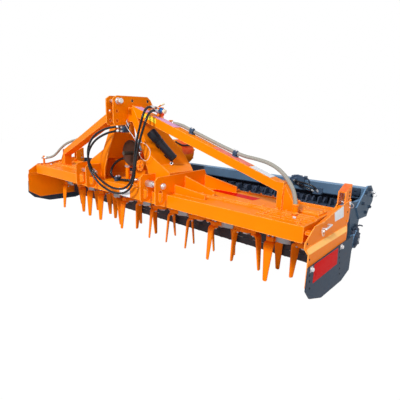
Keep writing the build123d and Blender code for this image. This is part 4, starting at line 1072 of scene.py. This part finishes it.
def make_ends():
    """Side plates' hardware: big bolts with square washers, holes, handle, wire and the depth pins' rings."""
    shell = Shell("bright", "shadow", "wire", "orange", "tint", "worn")
    for side in (LEFT, RIGHT):
        out = np.array([side, 0.0, 0.0])
        for ahead, z in ((435, 340), (-51, 351)):
            place = at(side * SIDE_LOW, ahead, z)
            block(shell, place, place + 0.005 * out, 0.036, 0.036, finish="worn")
            bolt(shell, place + 0.005 * out, out, 0.024, finish="bright", height=0.45)
        for ahead, z in DEFLECTOR_HOLES:
            hole(shell, at(side * SIDE_LOW, ahead, z), out, 0.0065, "shadow")
        for x, ahead, z in ((1845, 452, 400), (SIDE_HIGH, 440, 486), (SIDE_HIGH, -214, 560)):
            hole(shell, at(side * x, ahead, z), out, 0.006, "shadow")
        # Handle bar on two feet, and the bent wire of its latch
        for ahead, z in ((232, 534), (150, 544)):
            block(shell, at(side * 1816, ahead, z), at(side * 1842, ahead, z), 0.016, 0.012,
                  finish="bright")
        block(shell, at(side * 1840, 240, 533), at(side * 1840, 142, 545), 0.011, 0.013, up=out,
              finish="bright")
        shell.turned(at(side * SIDE_HIGH, 240, 520), out,
                     ((0, .009), (.010, .009), (.012, .007), (.018, .006)), sides=20, finish="bright")
        rod(shell, [at(side * 1824, 248, 528), at(side * 1832, 272, 520), at(side * 1835, 262, 494),
                    at(side * 1830, 228, 490), at(side * 1822, 212, 502)], 0.0022, finish="wire")
        # Depth pin's ring, holes in the post and the tinted cap
        ring(shell, at(side * 1832, -226, 606), (0, 1, 0.2), 0.017, 0.0018, finish="bright")
        block(shell, at(side * SIDE_HIGH, -226, PIN_Z), at(side * 1827, -226, PIN_Z), 0.026, 0.026,
              up=-FRONT, finish="bright")
        for row in range(1, 4):
            hole(shell, at(side * 1812, -226, PIN_Z + PIN_STEP * row), out, 0.0075, "shadow")
        share = np.linspace(0, 1, 7)[:, None, None]
        over = np.linspace(0, 1, 5)[None, :, None]
        low, high = (at(side * 1758.5, *edge) + CAP_LIFT for edge in ((-150.5, 710.6), (-261.5, 753.4)))
        cap = low + share * (high - low) + over * CAP_WIDTH * out
        shell.grid(cap, around=False, finish="tint", turned_in=side > 0)
        bolt(shell, at(side * SIDE_HIGH, -232, 490), out, 0.013, finish="orange", height=0.4)
    shell.made("side_hardware")


SHAFT_Z = 850                 # height of the input shaft's axis
PLUG_ROWS = ((-.006, .0125), (.0, .0125), (.0005, .0165), (.003, .015), (.004, .008))
BOWL_ROWS = ((0, .086), (.002, .104), (.010, .1155), (.030, .1180), (.0305, .1150), (.020, .106),
             (.012, .088), (.008, .062), (.010, .034))


def make_link_trim():
    """Ends and clips of the pins, drive shaft's hook and wire, splines, plugs, and the shield's bowl."""
    shell = Shell("bright", "black", "wire", "light_blue", "worn", "shaft")
    for side in (LEFT, RIGHT):
        out = np.array([side, 0.0, 0.0])
        pin = at(side * 609, 440, 642)
        shell.turned(pin, out, ((0, .0255), (.003, .024), (.005, .016), (.012, .015), (.014, .012)),
                     sides=24, finish="bright")
        # Holes in the pin's end: dark discs, painted shade
        for spot in round_spots(pin + 0.003 * out, (0, 1, 0), 0.0185, 3, 0.4):
            hole(shell, spot, out, 0.003, "black")
        tail = at(side * 350, 440, 642)
        shell.turned(tail, -out, ((0, .018), (.006, .018), (.010, .0125), (.012, .011)), sides=24,
                     finish="bright")
        rod(shell, [at(side * 368, 440, 616), at(side * 368, 440, 668), at(side * 368, 452, 676),
                    at(side * 368, 466, 660), at(side * 368, 462, 626)], 0.0035, finish="bright")
        for x, way in ((417.5, -out), (490.5, out)):
            shell.turned(at(side * x, 440, 642), way, ((0, .0282), (.002, .0262), (.0026, .0196)), sides=24,
                         finish="bright")
    # Top pin: hexagon head on the right, clip and chamfer on the left
    pin = at(104.4, 462, 1300)
    shell.turned(pin, (1, 0, 0), ((0, .0215), (.004, .0190), (.006, .0175)), sides=HEX, corners=6,
                 finish="bright")
    shell.turned(at(57, 462, 1300), (1, 0, 0), ((0, .027), (.006, .027), (.008, .024)), sides=24,
                 finish="bright")
    shell.turned(at(-95, 462, 1300), (-1, 0, 0), ((0, .015), (.004, .014), (.007, .010)), sides=20,
                 finish="bright")
    ring(shell, at(-78, 462, 1282), (1, 0.3, 0), 0.022, 0.0022, finish="bright")
    # Bright rods of the drive shaft's hook, their wire and the blue rod beside them
    rod(shell, [at(44, 376, 1118), at(47, 384, 1106), at(112, 386, 1050), at(179, 384, 994),
                at(186, 380, 976)],
        0.0038, finish="worn")
    rod(shell, [at(66, 372, 1150), at(70, 384, 1139), at(88, 388, 1112), at(101, 384, 1091)], 0.0036,
        finish="worn")
    block(shell, at(34, 366, 1112), at(80, 366, 1112), 0.018, 0.022, finish="worn")
    shell.turned(at(226, 378, 966), at(266, 384, 892) - at(226, 378, 966),
                 ((0, .006), (.004, .009), (.020, .009), (.022, .0075), (.076, .0075), (.082, .005)),
                 sides=16, finish="light_blue")
    loop = [at(226, 376, 962), at(232, 380, 968), at(310, 380, 959), at(363, 382, 931), at(389, 384, 893),
            at(366, 386, 833), at(320, 386, 810), at(276, 384, 826), at(238, 378, 852), at(226, 370, 872)]
    rod(shell, loop, 0.0024, finish="wire", bend=0.5)
    block(shell, at(226, 352, 968), at(226, 384, 968), 0.020, 0.024, finish="light_blue")
    block(shell, at(226, 352, 872), at(226, 374, 872), 0.012, 0.012, finish="bright")
    # Splines on the shaft's free end
    front, rear = at(0, 371, SHAFT_Z), at(0, 300, SHAFT_Z)
    for spot in round_spots(front, (1, 0, 0), 0.0166, 6):
        block(shell, spot, spot + rear - front, 0.006, 0.004, up=unit(spot - front), finish="shaft",
              ease=0.0006)
    # Dark plugs in the top link plates' rear holes
    for side in (LEFT, RIGHT):
        for ahead, z, finish in ((134, 1315, "black"), (309, 1310, "shaft")):
            shell.turned(at(side * 49, ahead, z), (side, 0, 0), PLUG_ROWS, sides=24, finish=finish)
    shell.made("link_trim")
    shield = Shell("brown")
    shield.turned(at(0, 262, SHAFT_Z), FRONT, BOWL_ROWS, sides=64)
    piece = shield.made("shaft_shield_bowl")
    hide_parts("shaft_shield")


TUBE_RIBS = 18
LEG_START, LEG_RUN = (125, 308.3, 1252), np.array([224.0, 0.0, -394.0])    # headstock leg's outer face


def make_tube():
    """Document tube: a turned profile with cap, collar and rolled end, on two pads, with a latch button."""
    shell = Shell("black", "bright")
    top, end = at(291.6, 308.3, 1060.1), at(424.8, 148.7, 825.8)
    run = end - top
    length = np.linalg.norm(run)
    shell.turned(top, run, ((0, .026), (.002, .034), (.006, .039), (.011, .0412), (.096, .0418),
                            (.100, .040), (.102, .0372), (.110, .0366), (.113, .0366), (.115, .0412),
                            (.124, .0416), (.126, .0372), (.130, .0366), (.294, .0366), (.297, .0395),
                            (.303, .0395), (.307, .036), (length - .001, .030), (length, .020)),
                 sides=40, finish="black")
    # Ribs round the cap
    first, second = across(run)
    for angle in FULL_TURN * np.arange(TUBE_RIBS) / TUBE_RIBS:
        spot = 0.0415 * (np.cos(angle) * first + np.sin(angle) * second)
        block(shell, top + 0.016 * unit(run) + spot, top + 0.088 * unit(run) + spot, 0.005, 0.003,
              up=unit(spot), finish="black", ease=0.0006)
    # Latch button that hangs under the lower end, a dark disc in a bright rim
    button, face = at(410, 164, 787), (0.64, -0.74, 0.22)
    shell.turned(button, face, ((-.004, .010), (-.003, .0150), (.003, .0150), (.005, .0125), (.0045, .0095)),
                 sides=28, finish="bright")
    shell.turned(button + 0.003 * unit(face), face, ((0, .0098), (.003, .0090), (.004, .006)), sides=24,
                 finish="black")
    rod(shell, [end - 0.02 * unit(run) - np.array([0, 0, 0.030]), at(414, 160, 800), button], 0.004,
        finish="black")
    # Pads that reach to the headstock leg's sloping face
    leg = unit(LEG_RUN)
    normal = np.array([-leg[2], 0.0, leg[0]])
    for share in (0.45, 0.8):
        middle = top + share * run
        seat = middle - normal * np.dot(middle - at(*LEG_START), normal)
        block(shell, seat, middle, 0.034, 0.034, up=unit(run), finish="black")
    piece = shell.made("document_tube_shell")
    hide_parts("document_tube")


def make_couplings():
    """Quick couplings of the long hoses on a small bracket, a lever, caps, and the block with nuts."""
    shell = Shell("clamp", "bright", "orange", "cream", "blue_cap", "red_ring", "shaft")
    for rows in (HOSE_ONE_ROWS, HOSE_TWO_ROWS):
        place = at(*rows[0])
        way = unit(place - at(*rows[1]))
        shell.turned(place, way, ((0, .0135), (.004, .0155), (.018, .0155), (.020, .013)), sides=HEX,
                     corners=6, finish="bright")
        shell.turned(place, way, ((.018, .0135), (.030, .0135), (.032, .0165), (.046, .0165), (.048, .014),
                                  (.052, .014), (.054, .0175), (.074, .0175), (.078, .015), (.084, .0125)),
                     sides=24, finish="clamp")
        ring(shell, place + 0.050 * way, way, 0.0145, 0.002, finish="bright", count=24)
        place = at(*rows[-1])
        way = unit(place - at(*rows[-2]))
        shell.turned(place, way, ((0, .011), (.003, .0145), (.016, .0145), (.019, .012)), sides=HEX,
                     corners=6, finish="shaft")
        shell.turned(place, way, ((.018, .0115), (.030, .0115), (.032, .0138), (.044, .0138), (.046, .011),
                                  (.060, .011)), sides=20, finish="shaft")
    # Bracket: an upright tab behind the couplings with a foot on the brace
    begin, end = 168, 238
    block(shell, on_brace(begin, 90, 4), on_brace(end, 90, 4), 0.016, 0.012, finish="orange")
    middle = (begin + end) / 2
    block(shell, on_brace(middle, 93, 0), on_brace(middle, 93, 80), 0.010, 0.070,
          up=on_brace(end, 93, 0) - on_brace(begin, 93, 0), finish="orange")
    # Lever with its cream grip, blue cap with a cream end, red ring
    block(shell, at(366, 292, 1256), at(428, 298, 1274), 0.017, 0.009, finish="orange")
    block(shell, at(426, 298, 1273), at(452, 300, 1282), 0.020, 0.012, finish="cream")
    shell.turned(at(378, 292, 1252), UP, ((0, .011), (.014, .011), (.018, .008)), sides=16, finish="bright")
    cap, cap_end = at(366, 262, 1243), at(430, 258, 1217)
    way = cap_end - cap
    shell.turned(cap, way, ((0, .012), (.003, .0165), (.040, .0165), (.042, .0150)), sides=28,
                 finish="blue_cap")
    shell.turned(cap, way, ((.041, .0155), (.044, .0178), (.062, .0178), (.066, .013)), sides=28,
                 finish="cream")
    ring(shell, at(400, 262, 1196), (0.9, 0.2, -0.4), 0.0135, 0.0035, finish="red_ring")
    rod(shell, [at(372, 270, 1226), at(384, 268, 1208), at(396, 262, 1208)], 0.0028, finish="clamp")
    # Block under the cross plate
    block(shell, at(45, 351, 1064), at(45, 414, 1064), 0.034, 0.054, finish="clamp")
    for z in (1048, 1080):
        bolt(shell, at(45, 417, z), FRONT, 0.014, finish="bright")
    piece = shell.made("hose_couplings")
    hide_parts("hose_bracket")


CLAMPS = (530, 930)           # places of the conduit clamps along a brace


def make_holders():
    """Clamps, column, elbow, ferrules, stub and lug that hold the centre hose and the conduits."""
    shell = Shell("clamp", "bright", "orange")
    shell.turned(at(-113, 240, 564), UP, ((0, .030), (.006, .030), (.010, .0205), (.136, .0200),
                                          (.190, .0195), (.211, .0185), (.213, .0155), (.238, .0150),
                                          (.242, .012)), sides=32, finish="orange")
    bend = [at(-113, 240, 780), at(-113, 240, 790), at(-124, 240, 791), at(-134, 240, 790)]
    rod(shell, bend, 0.0135, finish="orange", points_round=20)
    # Stepped block under the centre hose's right end
    block(shell, at(33, 218, 566), at(81, 218, 566), 0.020, 0.046, up=FRONT, finish="orange")
    block(shell, at(33, 218, 598), at(81, 218, 598), 0.044, 0.046, up=FRONT, finish="orange")
    # Clamp of the centre hose on the beam: two rounded halves around it
    for rise, height in ((573, 0.016), (599, 0.018)):
        block(shell, at(-203, 304, rise), at(-169, 304, rise), height, 0.062, up=FRONT, finish="clamp")
    block(shell, at(-199, 304, 586), at(-173, 304, 586), 0.014, 0.052, up=FRONT, finish="clamp")
    for side in (LEFT, RIGHT):
        # Conduit clamps: a foot and a rounded head, with two bolts
        for along in CLAMPS:
            foot, head = on_brace(along, 75, 4, side), on_brace(along, 75, 44, side)
            end = on_brace(along + 36, 75, 4, side) - foot
            top = unit(head - foot)
            block(shell, foot, foot + end, 0.050, 0.010, up=top, finish="clamp")
            low = head - 0.016 * top
            block(shell, low, low + end, 0.038, 0.040, up=top, finish="clamp", ease=0.006)
            for step in (9, 27):
                bolt(shell, on_brace(along + step, 66, 46, side), (side * 0.34, 0, 0.94), 0.013,
                     finish="bright")
        # Ferrule on the conduit's upper end, in a plate behind the brace
        (x, ahead, z), (next_x, next_ahead, next_z) = CONDUIT_RIGHT_ROWS[:2]
        end = at(side * x, ahead, z)
        shell.turned(end, at(side * next_x, next_ahead, next_z) - end,
                     ((-.026, .013), (-.022, .0160), (-.004, .0160), (-.002, .0175), (.012, .0175),
                      (.018, .0145)), sides=24, finish="bright")
        block(shell, on_brace(296, 98, -11, side), on_brace(296, 146, -11, side), 0.010, 0.044,
              finish="orange")
    # Neck of the column, elbow nut and fittings of the centre hose
    shell.turned(at(-113, 240, 700), UP, ((0, .0205), (.004, .024), (.020, .024), (.024, .0205)), sides=HEX,
                 corners=6, finish="bright")
    shell.turned(at(-113, 240, 764), UP, ((0, .021), (.003, .0235), (.014, .0235), (.017, .019)), sides=24,
                 finish="clamp")
    elbow = at(-132, 240, 790)
    shell.turned(elbow, (1, 0, 0), ((-.004, .0135), (0, .0165), (.014, .0165), (.017, .0145)), sides=HEX,
                 corners=6, finish="bright")
    joint = at(-19, 240, 588)
    way = unit(joint - at(-52, 262, 583))
    shell.turned(joint, way, ((-.010, .0125), (-.008, .0155), (.020, .0155), (.022, .0135), (.026, .0135),
                              (.028, .0168), (.044, .0168), (.048, .0140)), sides=24, finish="bright")
    for x in (36, 66):
        bolt(shell, at(x, 242, 600), FRONT, 0.015, finish="bright")
    for ahead in (290, 318):
        bolt(shell, at(-186, ahead, 607), UP, 0.016, finish="bright")
    # Stub on the right, and the left lug with its fitting
    shell.turned(at(1613, 202, 583), UP, ((0, .026), (.005, .026), (.009, .0185), (.050, .0180),
                                          (.057, .017)), sides=32, finish="orange")
    block(shell, at(1599, 212, 574), at(1627, 212, 574), 0.018, 0.018, finish="orange")
    block(shell, at(-1743, 301, 564), at(-1743, 301, 673), 0.030, 0.017, up=FRONT, finish="orange")
    shell.turned(at(1613, 202, 632), UP, ((0, .0185), (.003, .0205), (.012, .0205), (.015, .0175)),
                 sides=HEX, corners=6, finish="orange")
    last = at(*CONDUIT_LEFT_ROWS[-1])
    way = unit(last - at(*CONDUIT_LEFT_ROWS[-2]))
    shell.turned(last, way, ((-.006, .0145), (-.002, .0170), (.010, .0170), (.012, .0140), (.016, .0160),
                             (.030, .0160), (.034, .0125)), sides=24, finish="bright")
    bolt(shell, at(-1743, 318, 650), FRONT, 0.020, finish="bright")
    piece = shell.made("hose_holders")
    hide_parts("hose_clamps")


BEAM_FRONT = -638             # front face of the roller beam, ahead of the rotors' line
SCRAPER_COUNT, SCRAPER_PITCH = 34, 100
END_BOLTS = ((-600, 560), (-650, 640), (-735, 655), (-830, 590), (-800, 500), (-700, 470))

# Collars and plugs round the bearing: ahead, Z, reach along X and radius
BEARING_PLUGS = ((-452, 352, 0.022, 0.022), (-500, 372, 0.026, 0.017), (-548, 352, 0.020, 0.020),
                 (-536, 250, 0.018, 0.018), (-440, 262, 0.016, 0.016))


def make_roller_trim():
    """Bearing caps with bolts and plugs, end plates' bolts and pins, a dark sheet of painted shade under the
    beam, scraper bolts and valve.
    """
    shell = Shell("blue_trim", "bright", "dark", "clamp")
    for side in (LEFT, RIGHT):
        out = np.array([side, 0.0, 0.0])
        hub = at(side * 1826, -490, 290)
        shell.turned(hub, out, ((0, .062), (.004, .062), (.006, .050), (.012, .046), (.016, .036)),
                     sides=32, finish="blue_trim")
        for spot in round_spots(hub, (0, 1, 0), 0.0545, 4, np.radians(45)):
            bolt(shell, spot, out, 0.017, finish="dark")
        shell.turned(hub + 0.016 * out, out, ((-.002, .012), (.006, .012), (.008, .008)), sides=HEX,
                     corners=6, finish="bright")
        # Plugs, the bar above the bearing and the scraper adjuster's bent rod
        for ahead, z, reach, radius in BEARING_PLUGS:
            shell.turned(at(side * 1796, ahead, z), out,
                         ((0, radius), (reach * 0.7, radius), (reach * 0.75, radius * 0.7),
                          (reach * 1.2, radius * 0.6)), sides=HEX, corners=6, finish="dark")
        block(shell, at(side * 1800, -430, 384), at(side * 1800, -560, 384), 0.014, 0.026, up=out,
              finish="blue_trim")
        rod(shell, [at(side * 1812, -500, 392), at(side * 1824, -540, 396), at(side * 1830, -590, 380)],
            0.006, finish="dark")
        # End plate: bolts and the pin with its ring
        for ahead, z in END_BOLTS:
            bolt(shell, at(side * ROLLER_END, ahead, z), out, 0.022, finish="blue_trim")
        block(shell, at(side * ROLLER_END, -778, 627), at(side * 1848, -778, 627), 0.017, 0.017,
              finish="bright")
        ring(shell, at(side * 1843, -778, 610), (0, 1, 0), 0.016, 0.0018, finish="bright")
        # Gussets between the beam and the end plates
        block(shell, at(side * 1700, -628, 640), at(side * 1770, -628, 640), 0.024, 0.060,
              finish="blue_trim")
        for z in (624, 654):
            bolt(shell, at(side * 1735, -616, z), FRONT, 0.017, finish="blue_trim")
    # Dark sheet behind the scraper blades, in front of the bar's bolts: painted shade under the beam
    edges = ((-1750, 0), (1750, 0), (1750, -5), (-1750, -5))
    strip = np.array([[at(x, -739 + step, z) for z in (442, 546)] for x, step in edges])
    shell.grid(strip.transpose(1, 0, 2)[:, ::-1], finish="dark")
    # Scraper bolts on the bar under the beam
    for k in range(SCRAPER_COUNT):
        x = SCRAPER_PITCH * (k - (SCRAPER_COUNT - 1) / 2)
        for step in (-16, 16):
            bolt(shell, at(x + step, -739, 562), -FRONT, 0.014, finish="dark")
    # Valve: a low cartridge, a bright plug, a sloping arm and a bent lever on the block
    for x, radius, finish in ((1222, .015, "clamp"), (1272, .012, "bright")):
        shell.turned(at(x, -640, 703), UP, ((0, radius), (.0060, radius), (.0066, radius * 0.75),
                                            (.0120, radius * 0.6)), sides=24, finish=finish)
    rod(shell, [at(1150, -626, 664), at(1176, -622, 690), at(1212, -622, 712), at(1256, -626, 706)], 0.0065,
        finish="clamp")
    shell.turned(at(1214, -620, 680), FRONT, ((0, .013), (.014, .013), (.016, .009), (.024, .008)),
                 sides=HEX, corners=6, finish="clamp")
    rod(shell, [at(1290, -640, 690), at(1312, -634, 694), at(1334, -632, 676), at(1338, -632, 658)], 0.006,
        finish="dark")
    # Rim along the beam's lower front edge
    block(shell, at(-1755, BEAM_FRONT, 586), at(1755, BEAM_FRONT, 586), 0.006, 0.008, finish="blue_trim")
    shell.made("roller_frame_trim", body="roller_frame")


# Beads on the right side, from one (X, ahead, Z) to another in millimetres; the left side mirrors them
WELD_LINES = (
    ((596, 390, 566), (596, 215, 566)), ((596, 198, 574), (596, -94, 574)),
    ((403, 388, 566), (403, 353, 566)), ((598, 313, 567), (915, 313, 567)),
    ((598, 193, 575), (912, 193, 575)), ((598, -89, 575), (940, -89, 575)),
    ((597, 301, 570), (597, 301, 634)), ((597, 181, 576), (597, 181, 697)),
    ((582, 391, 470), (582, 391, 560)), ((598, 391, 480), (598, 391, 560)),
    ((401, 391, 480), (401, 391, 560)), ((417, 391, 480), (417, 391, 560)),
    ((1764, 388, 470), (1764, 388, 562)))


def make_welds():
    """Weld beads along the joints of brackets, ribs and posts."""
    shell = Shell("orange")
    radius = bpy.context.scene.harrow_sizes.weld
    for side in (LEFT, RIGHT):
        for start, end in WELD_LINES:
            weld(shell, at(side * start[0], *start[1:]), at(side * end[0], *end[1:]), radius)
    shell.made("weld_beads", smooth=70.0)


# Stage: floor, world, lamps and camera

WHITE = (1.0, 1.0, 1.0)
SKY = (0.93, 0.96, 1.0)
FLOOR_LOW, FLOOR_HIGH = (0.80, 0.80, 0.80), (0.84, 0.84, 0.84)
FLOOR_REACH, FLOOR_HEIGHT = 14.0, -0.0005
FLOOR_WHITE = 1.02            # strength of the white that the camera sees in the floor
WHITE_RAYS = ("Is Glossy Ray", "Is Transmission Ray")
LAMPS = (("sun", (-0.08, 0.78, -0.62), 9.0),      # name, way and spread in degrees
         ("fill", (-0.86, 0.24, -0.45), 80.0))

CAMERA_PLACE = (2.55964, -2.44280, 1.14761)
CAMERA_RIGHT = (0.7519295, 0.6584172, 0.0329981)
CAMERA_UP = (-0.1706688, 0.1460718, 0.9744410)
CAMERA_BACK = (0.6367686, -0.7383426, 0.2222070)
CAMERA_LENS = 30.732
CAMERA_REACH = 100.0
SENSOR_WIDTH = 36.0


def make_floor(glow_share):
    """Pale floor that the camera sees nearly white, and that keeps the object's shadow."""
    floor = Finish("pale_floor")
    floor.set("Base Color", floor.blend(floor.noise(2.0, detail=3.0), FLOOR_LOW, FLOOR_HIGH))
    floor.set("Roughness", 0.9)
    floor.set("Specular IOR Level", 0.1)
    seen = floor.node("ShaderNodeLightPath", output="Is Camera Ray")
    glow = floor.node("ShaderNodeEmission", Color=WHITE, Strength=FLOOR_WHITE)
    mixed = floor.node("ShaderNodeMixShader", Fac=seen * glow_share, _1=floor.shader, _2=glow)
    finishes["floor"] = floor.done(mixed)
    reach = np.linspace(-FLOOR_REACH, FLOOR_REACH, 9)
    x, y = np.meshgrid(reach, reach, indexing="ij")
    shell = Shell("floor")
    shell.grid(np.stack([x, y, np.full_like(x, FLOOR_HEIGHT)], axis=-1), around=False)
    plane = shell.placed("floor")


def make_world(strength):
    """World that lights the object from all round, white to camera, glossy and transmission rays."""
    world = bpy.data.worlds.new("studio")
    world.use_nodes = True
    nodes = Nodes(world.node_tree)
    seen = nodes.node("ShaderNodeLightPath", output="Is Camera Ray")
    for ray in WHITE_RAYS:
        seen = seen.larger(nodes.node("ShaderNodeLightPath", output=ray))
    sky = nodes.node("ShaderNodeBackground", Color=SKY, Strength=strength)
    white = nodes.node("ShaderNodeBackground", Color=WHITE, Strength=1.0)
    mixed = nodes.node("ShaderNodeMixShader", Fac=seen, _1=sky, _2=white)
    nodes.node("ShaderNodeOutputWorld", Surface=mixed)
    bpy.context.scene.world = world


def make_stage():
    """Floor, world, a soft sun from the tractor's side, a fill from the right, and the camera."""
    scene = bpy.context.scene
    settings = scene.harrow_stage
    make_floor(settings.floor_glow)
    make_world(settings.sky)
    for name, toward, spread in LAMPS:
        light = bpy.data.lights.new(name, "SUN")
        light.energy = getattr(settings, name)
        light.angle = np.radians(spread)
        lamp = bpy.data.objects.new(name, light)
        lamp.rotation_euler = Vector(toward).to_track_quat("-Z", "Y").to_euler()
        scene.collection.objects.link(lamp)
    camera = bpy.data.objects.new("camera", bpy.data.cameras.new("camera"))
    camera.data.sensor_width = SENSOR_WIDTH
    camera.data.lens = CAMERA_LENS
    camera.data.clip_end = CAMERA_REACH
    turn = Matrix((CAMERA_RIGHT, CAMERA_UP, CAMERA_BACK)).transposed()
    camera.matrix_world = Matrix.Translation(CAMERA_PLACE) @ turn.to_4x4()
    scene.collection.objects.link(camera)
    scene.camera = camera
    scene.view_settings.view_transform = "Standard"


# Sizes, colours and lights that a user would change, operators and panel


class HarrowSizes(bpy.types.PropertyGroup):
    """Sizes of parts that only this file makes."""

    weld: FloatProperty(name="Weld bead", description="Radius of the weld beads", unit="LENGTH",
                        default=0.004, min=0.001, max=0.01)
    sleeve: FloatProperty(name="Sleeve", description="Radius of the braided sleeves on the braces",
                          unit="LENGTH", default=0.0139, min=0.01, max=0.016)


class HarrowPaint(bpy.types.PropertyGroup):
    """Colours of the machine."""

    orange: FloatVectorProperty(name="Orange", description="Gloss paint of frame and tines",
                                subtype="COLOR", size=3, min=0.0, max=1.0, default=(0.95, 0.225, 0.0))
    blue_grey: FloatVectorProperty(name="Blue-grey", description="Paint of the roller's frame",
                                   subtype="COLOR", size=3, min=0.0, max=1.0, default=(0.090, 0.165, 0.265))
    deflector: FloatVectorProperty(name="Deflector grey", description="Paint of the lower side plates",
                                   subtype="COLOR", size=3, min=0.0, max=1.0, default=(0.030, 0.050, 0.082))
    roller_dark: FloatVectorProperty(name="Roller", description="Paint of the roller", subtype="COLOR",
                                     size=3, min=0.0, max=1.0, default=(0.030, 0.044, 0.076))


class HarrowStage(bpy.types.PropertyGroup):
    """Levels of light."""

    sun: FloatProperty(name="Sun", description="Strength of the soft sun", default=2.9, min=0.0, max=10.0)
    fill: FloatProperty(name="Fill", description="Strength of the soft light from the right", default=0.8,
                        min=0.0, max=10.0)
    sky: FloatProperty(name="Sky", description="Strength of the light from all round", default=0.36,
                       min=0.0, max=2.0)
    floor_glow: FloatProperty(name="Floor glow",
                              description="Share of white in the floor as the camera sees it",
                              subtype="FACTOR", default=0.975, min=0.0, max=1.0)


class HARROW_OT_finishes(bpy.types.Operator):
    """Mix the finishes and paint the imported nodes"""

    bl_idname = "harrow.finishes"
    bl_label = "Finishes"

    def execute(self, context):
        mix_finishes()
        paint_nodes()
        return {"FINISHED"}


class HARROW_OT_rotors(bpy.types.Operator):
    """Forged holders and blades of the rotors"""

    bl_idname = "harrow.rotors"
    bl_label = "Rotors"

    def execute(self, context):
        make_rotors()
        return {"FINISHED"}


class HARROW_OT_hoses(bpy.types.Operator):
    """Hydraulic hoses with their ferrules"""

    bl_idname = "harrow.hoses"
    bl_label = "Hoses"

    def execute(self, context):
        make_hoses()
        return {"FINISHED"}


class HARROW_OT_conduits(bpy.types.Operator):
    """Braided sleeves on the braces"""

    bl_idname = "harrow.conduits"
    bl_label = "Conduits"

    def execute(self, context):
        make_conduits()
        return {"FINISHED"}


class HARROW_OT_labels(bpy.types.Operator):
    """Blank labels and plates, and the painted reflection on the side plates' folds"""

    bl_idname = "harrow.labels"
    bl_label = "Labels"

    def execute(self, context):
        make_labels()
        return {"FINISHED"}


class HARROW_OT_fasteners(bpy.types.Operator):
    """Bolts, plates and breather of the deck, and bolts and pipe of the gearbox"""

    bl_idname = "harrow.fasteners"
    bl_label = "Deck and gearbox bolts"

    def execute(self, context):
        make_fasteners()
        return {"FINISHED"}


class HARROW_OT_ends(bpy.types.Operator):
    """Hardware of the side plates and the depth posts"""

    bl_idname = "harrow.ends"
    bl_label = "Side plates"

    def execute(self, context):
        make_ends()
        return {"FINISHED"}


class HARROW_OT_link_trim(bpy.types.Operator):
    """Pins, clips, plugs, shield and hook of the headstock"""

    bl_idname = "harrow.link_trim"
    bl_label = "Link trim"

    def execute(self, context):
        make_link_trim()
        return {"FINISHED"}


class HARROW_OT_tube(bpy.types.Operator):
    """Document tube"""

    bl_idname = "harrow.tube"
    bl_label = "Document tube"

    def execute(self, context):
        make_tube()
        return {"FINISHED"}


class HARROW_OT_couplings(bpy.types.Operator):
    """Couplings of the long hoses"""

    bl_idname = "harrow.couplings"
    bl_label = "Couplings"

    def execute(self, context):
        make_couplings()
        return {"FINISHED"}


class HARROW_OT_holders(bpy.types.Operator):
    """Clamps, column and ferrules that hold the conduits and the centre hose"""

    bl_idname = "harrow.holders"
    bl_label = "Hose holders"

    def execute(self, context):
        make_holders()
        return {"FINISHED"}


class HARROW_OT_roller_trim(bpy.types.Operator):
    """Bearing caps, bolts, a sheet of painted shade and the valve of the roller frame"""

    bl_idname = "harrow.roller_trim"
    bl_label = "Roller frame trim"

    def execute(self, context):
        make_roller_trim()
        return {"FINISHED"}


class HARROW_OT_welds(bpy.types.Operator):
    """Weld beads"""

    bl_idname = "harrow.welds"
    bl_label = "Welds"

    def execute(self, context):
        make_welds()
        return {"FINISHED"}


class HARROW_OT_stage(bpy.types.Operator):
    """Floor, world, lamps and camera"""

    bl_idname = "harrow.stage"
    bl_label = "Stage"

    def execute(self, context):
        make_stage()
        return {"FINISHED"}


ORDER = ("stage", "finishes", "hoses", "conduits", "rotors", "labels", "fasteners", "ends", "link_trim",
         "tube", "couplings", "holders", "roller_trim", "welds")


class HARROW_PT_panel(bpy.types.Panel):
    """Sizes, colours, lights and piece groups of the harrow"""

    bl_idname = "HARROW_PT_panel"
    bl_label = "Power harrow"
    bl_space_type = "VIEW_3D"
    bl_region_type = "UI"
    bl_category = "Harrow"

    def draw(self, context):
        scene = context.scene
        for group in (scene.harrow_sizes, scene.harrow_paint, scene.harrow_stage):
            for name in group.__annotations__:
                self.layout.prop(group, name)
        for name in ORDER:
            self.layout.operator("harrow." + name)


CLASSES = (HarrowSizes, HarrowPaint, HarrowStage, HARROW_OT_stage, HARROW_OT_finishes, HARROW_OT_hoses,
           HARROW_OT_conduits, HARROW_OT_rotors, HARROW_OT_labels, HARROW_OT_fasteners, HARROW_OT_ends,
           HARROW_OT_link_trim, HARROW_OT_tube, HARROW_OT_couplings, HARROW_OT_holders,
           HARROW_OT_roller_trim, HARROW_OT_welds, HARROW_PT_panel)


def register():
    """Registers the classes and the settings on the scene."""
    for kind in CLASSES:
        bpy.utils.register_class(kind)
    bpy.types.Scene.harrow_sizes = PointerProperty(type=HarrowSizes)
    bpy.types.Scene.harrow_paint = PointerProperty(type=HarrowPaint)
    bpy.types.Scene.harrow_stage = PointerProperty(type=HarrowStage)


def unregister():
    """Takes the settings and the classes away."""
    del bpy.types.Scene.harrow_stage
    del bpy.types.Scene.harrow_paint
    del bpy.types.Scene.harrow_sizes
    for kind in reversed(CLASSES):
        bpy.utils.unregister_class(kind)


def main():
    """Makes everything in order."""
    register()
    for name in ORDER:
        getattr(bpy.ops.harrow, name)()
    bpy.context.view_layer.update()


if __name__ == "__main__":
    main()
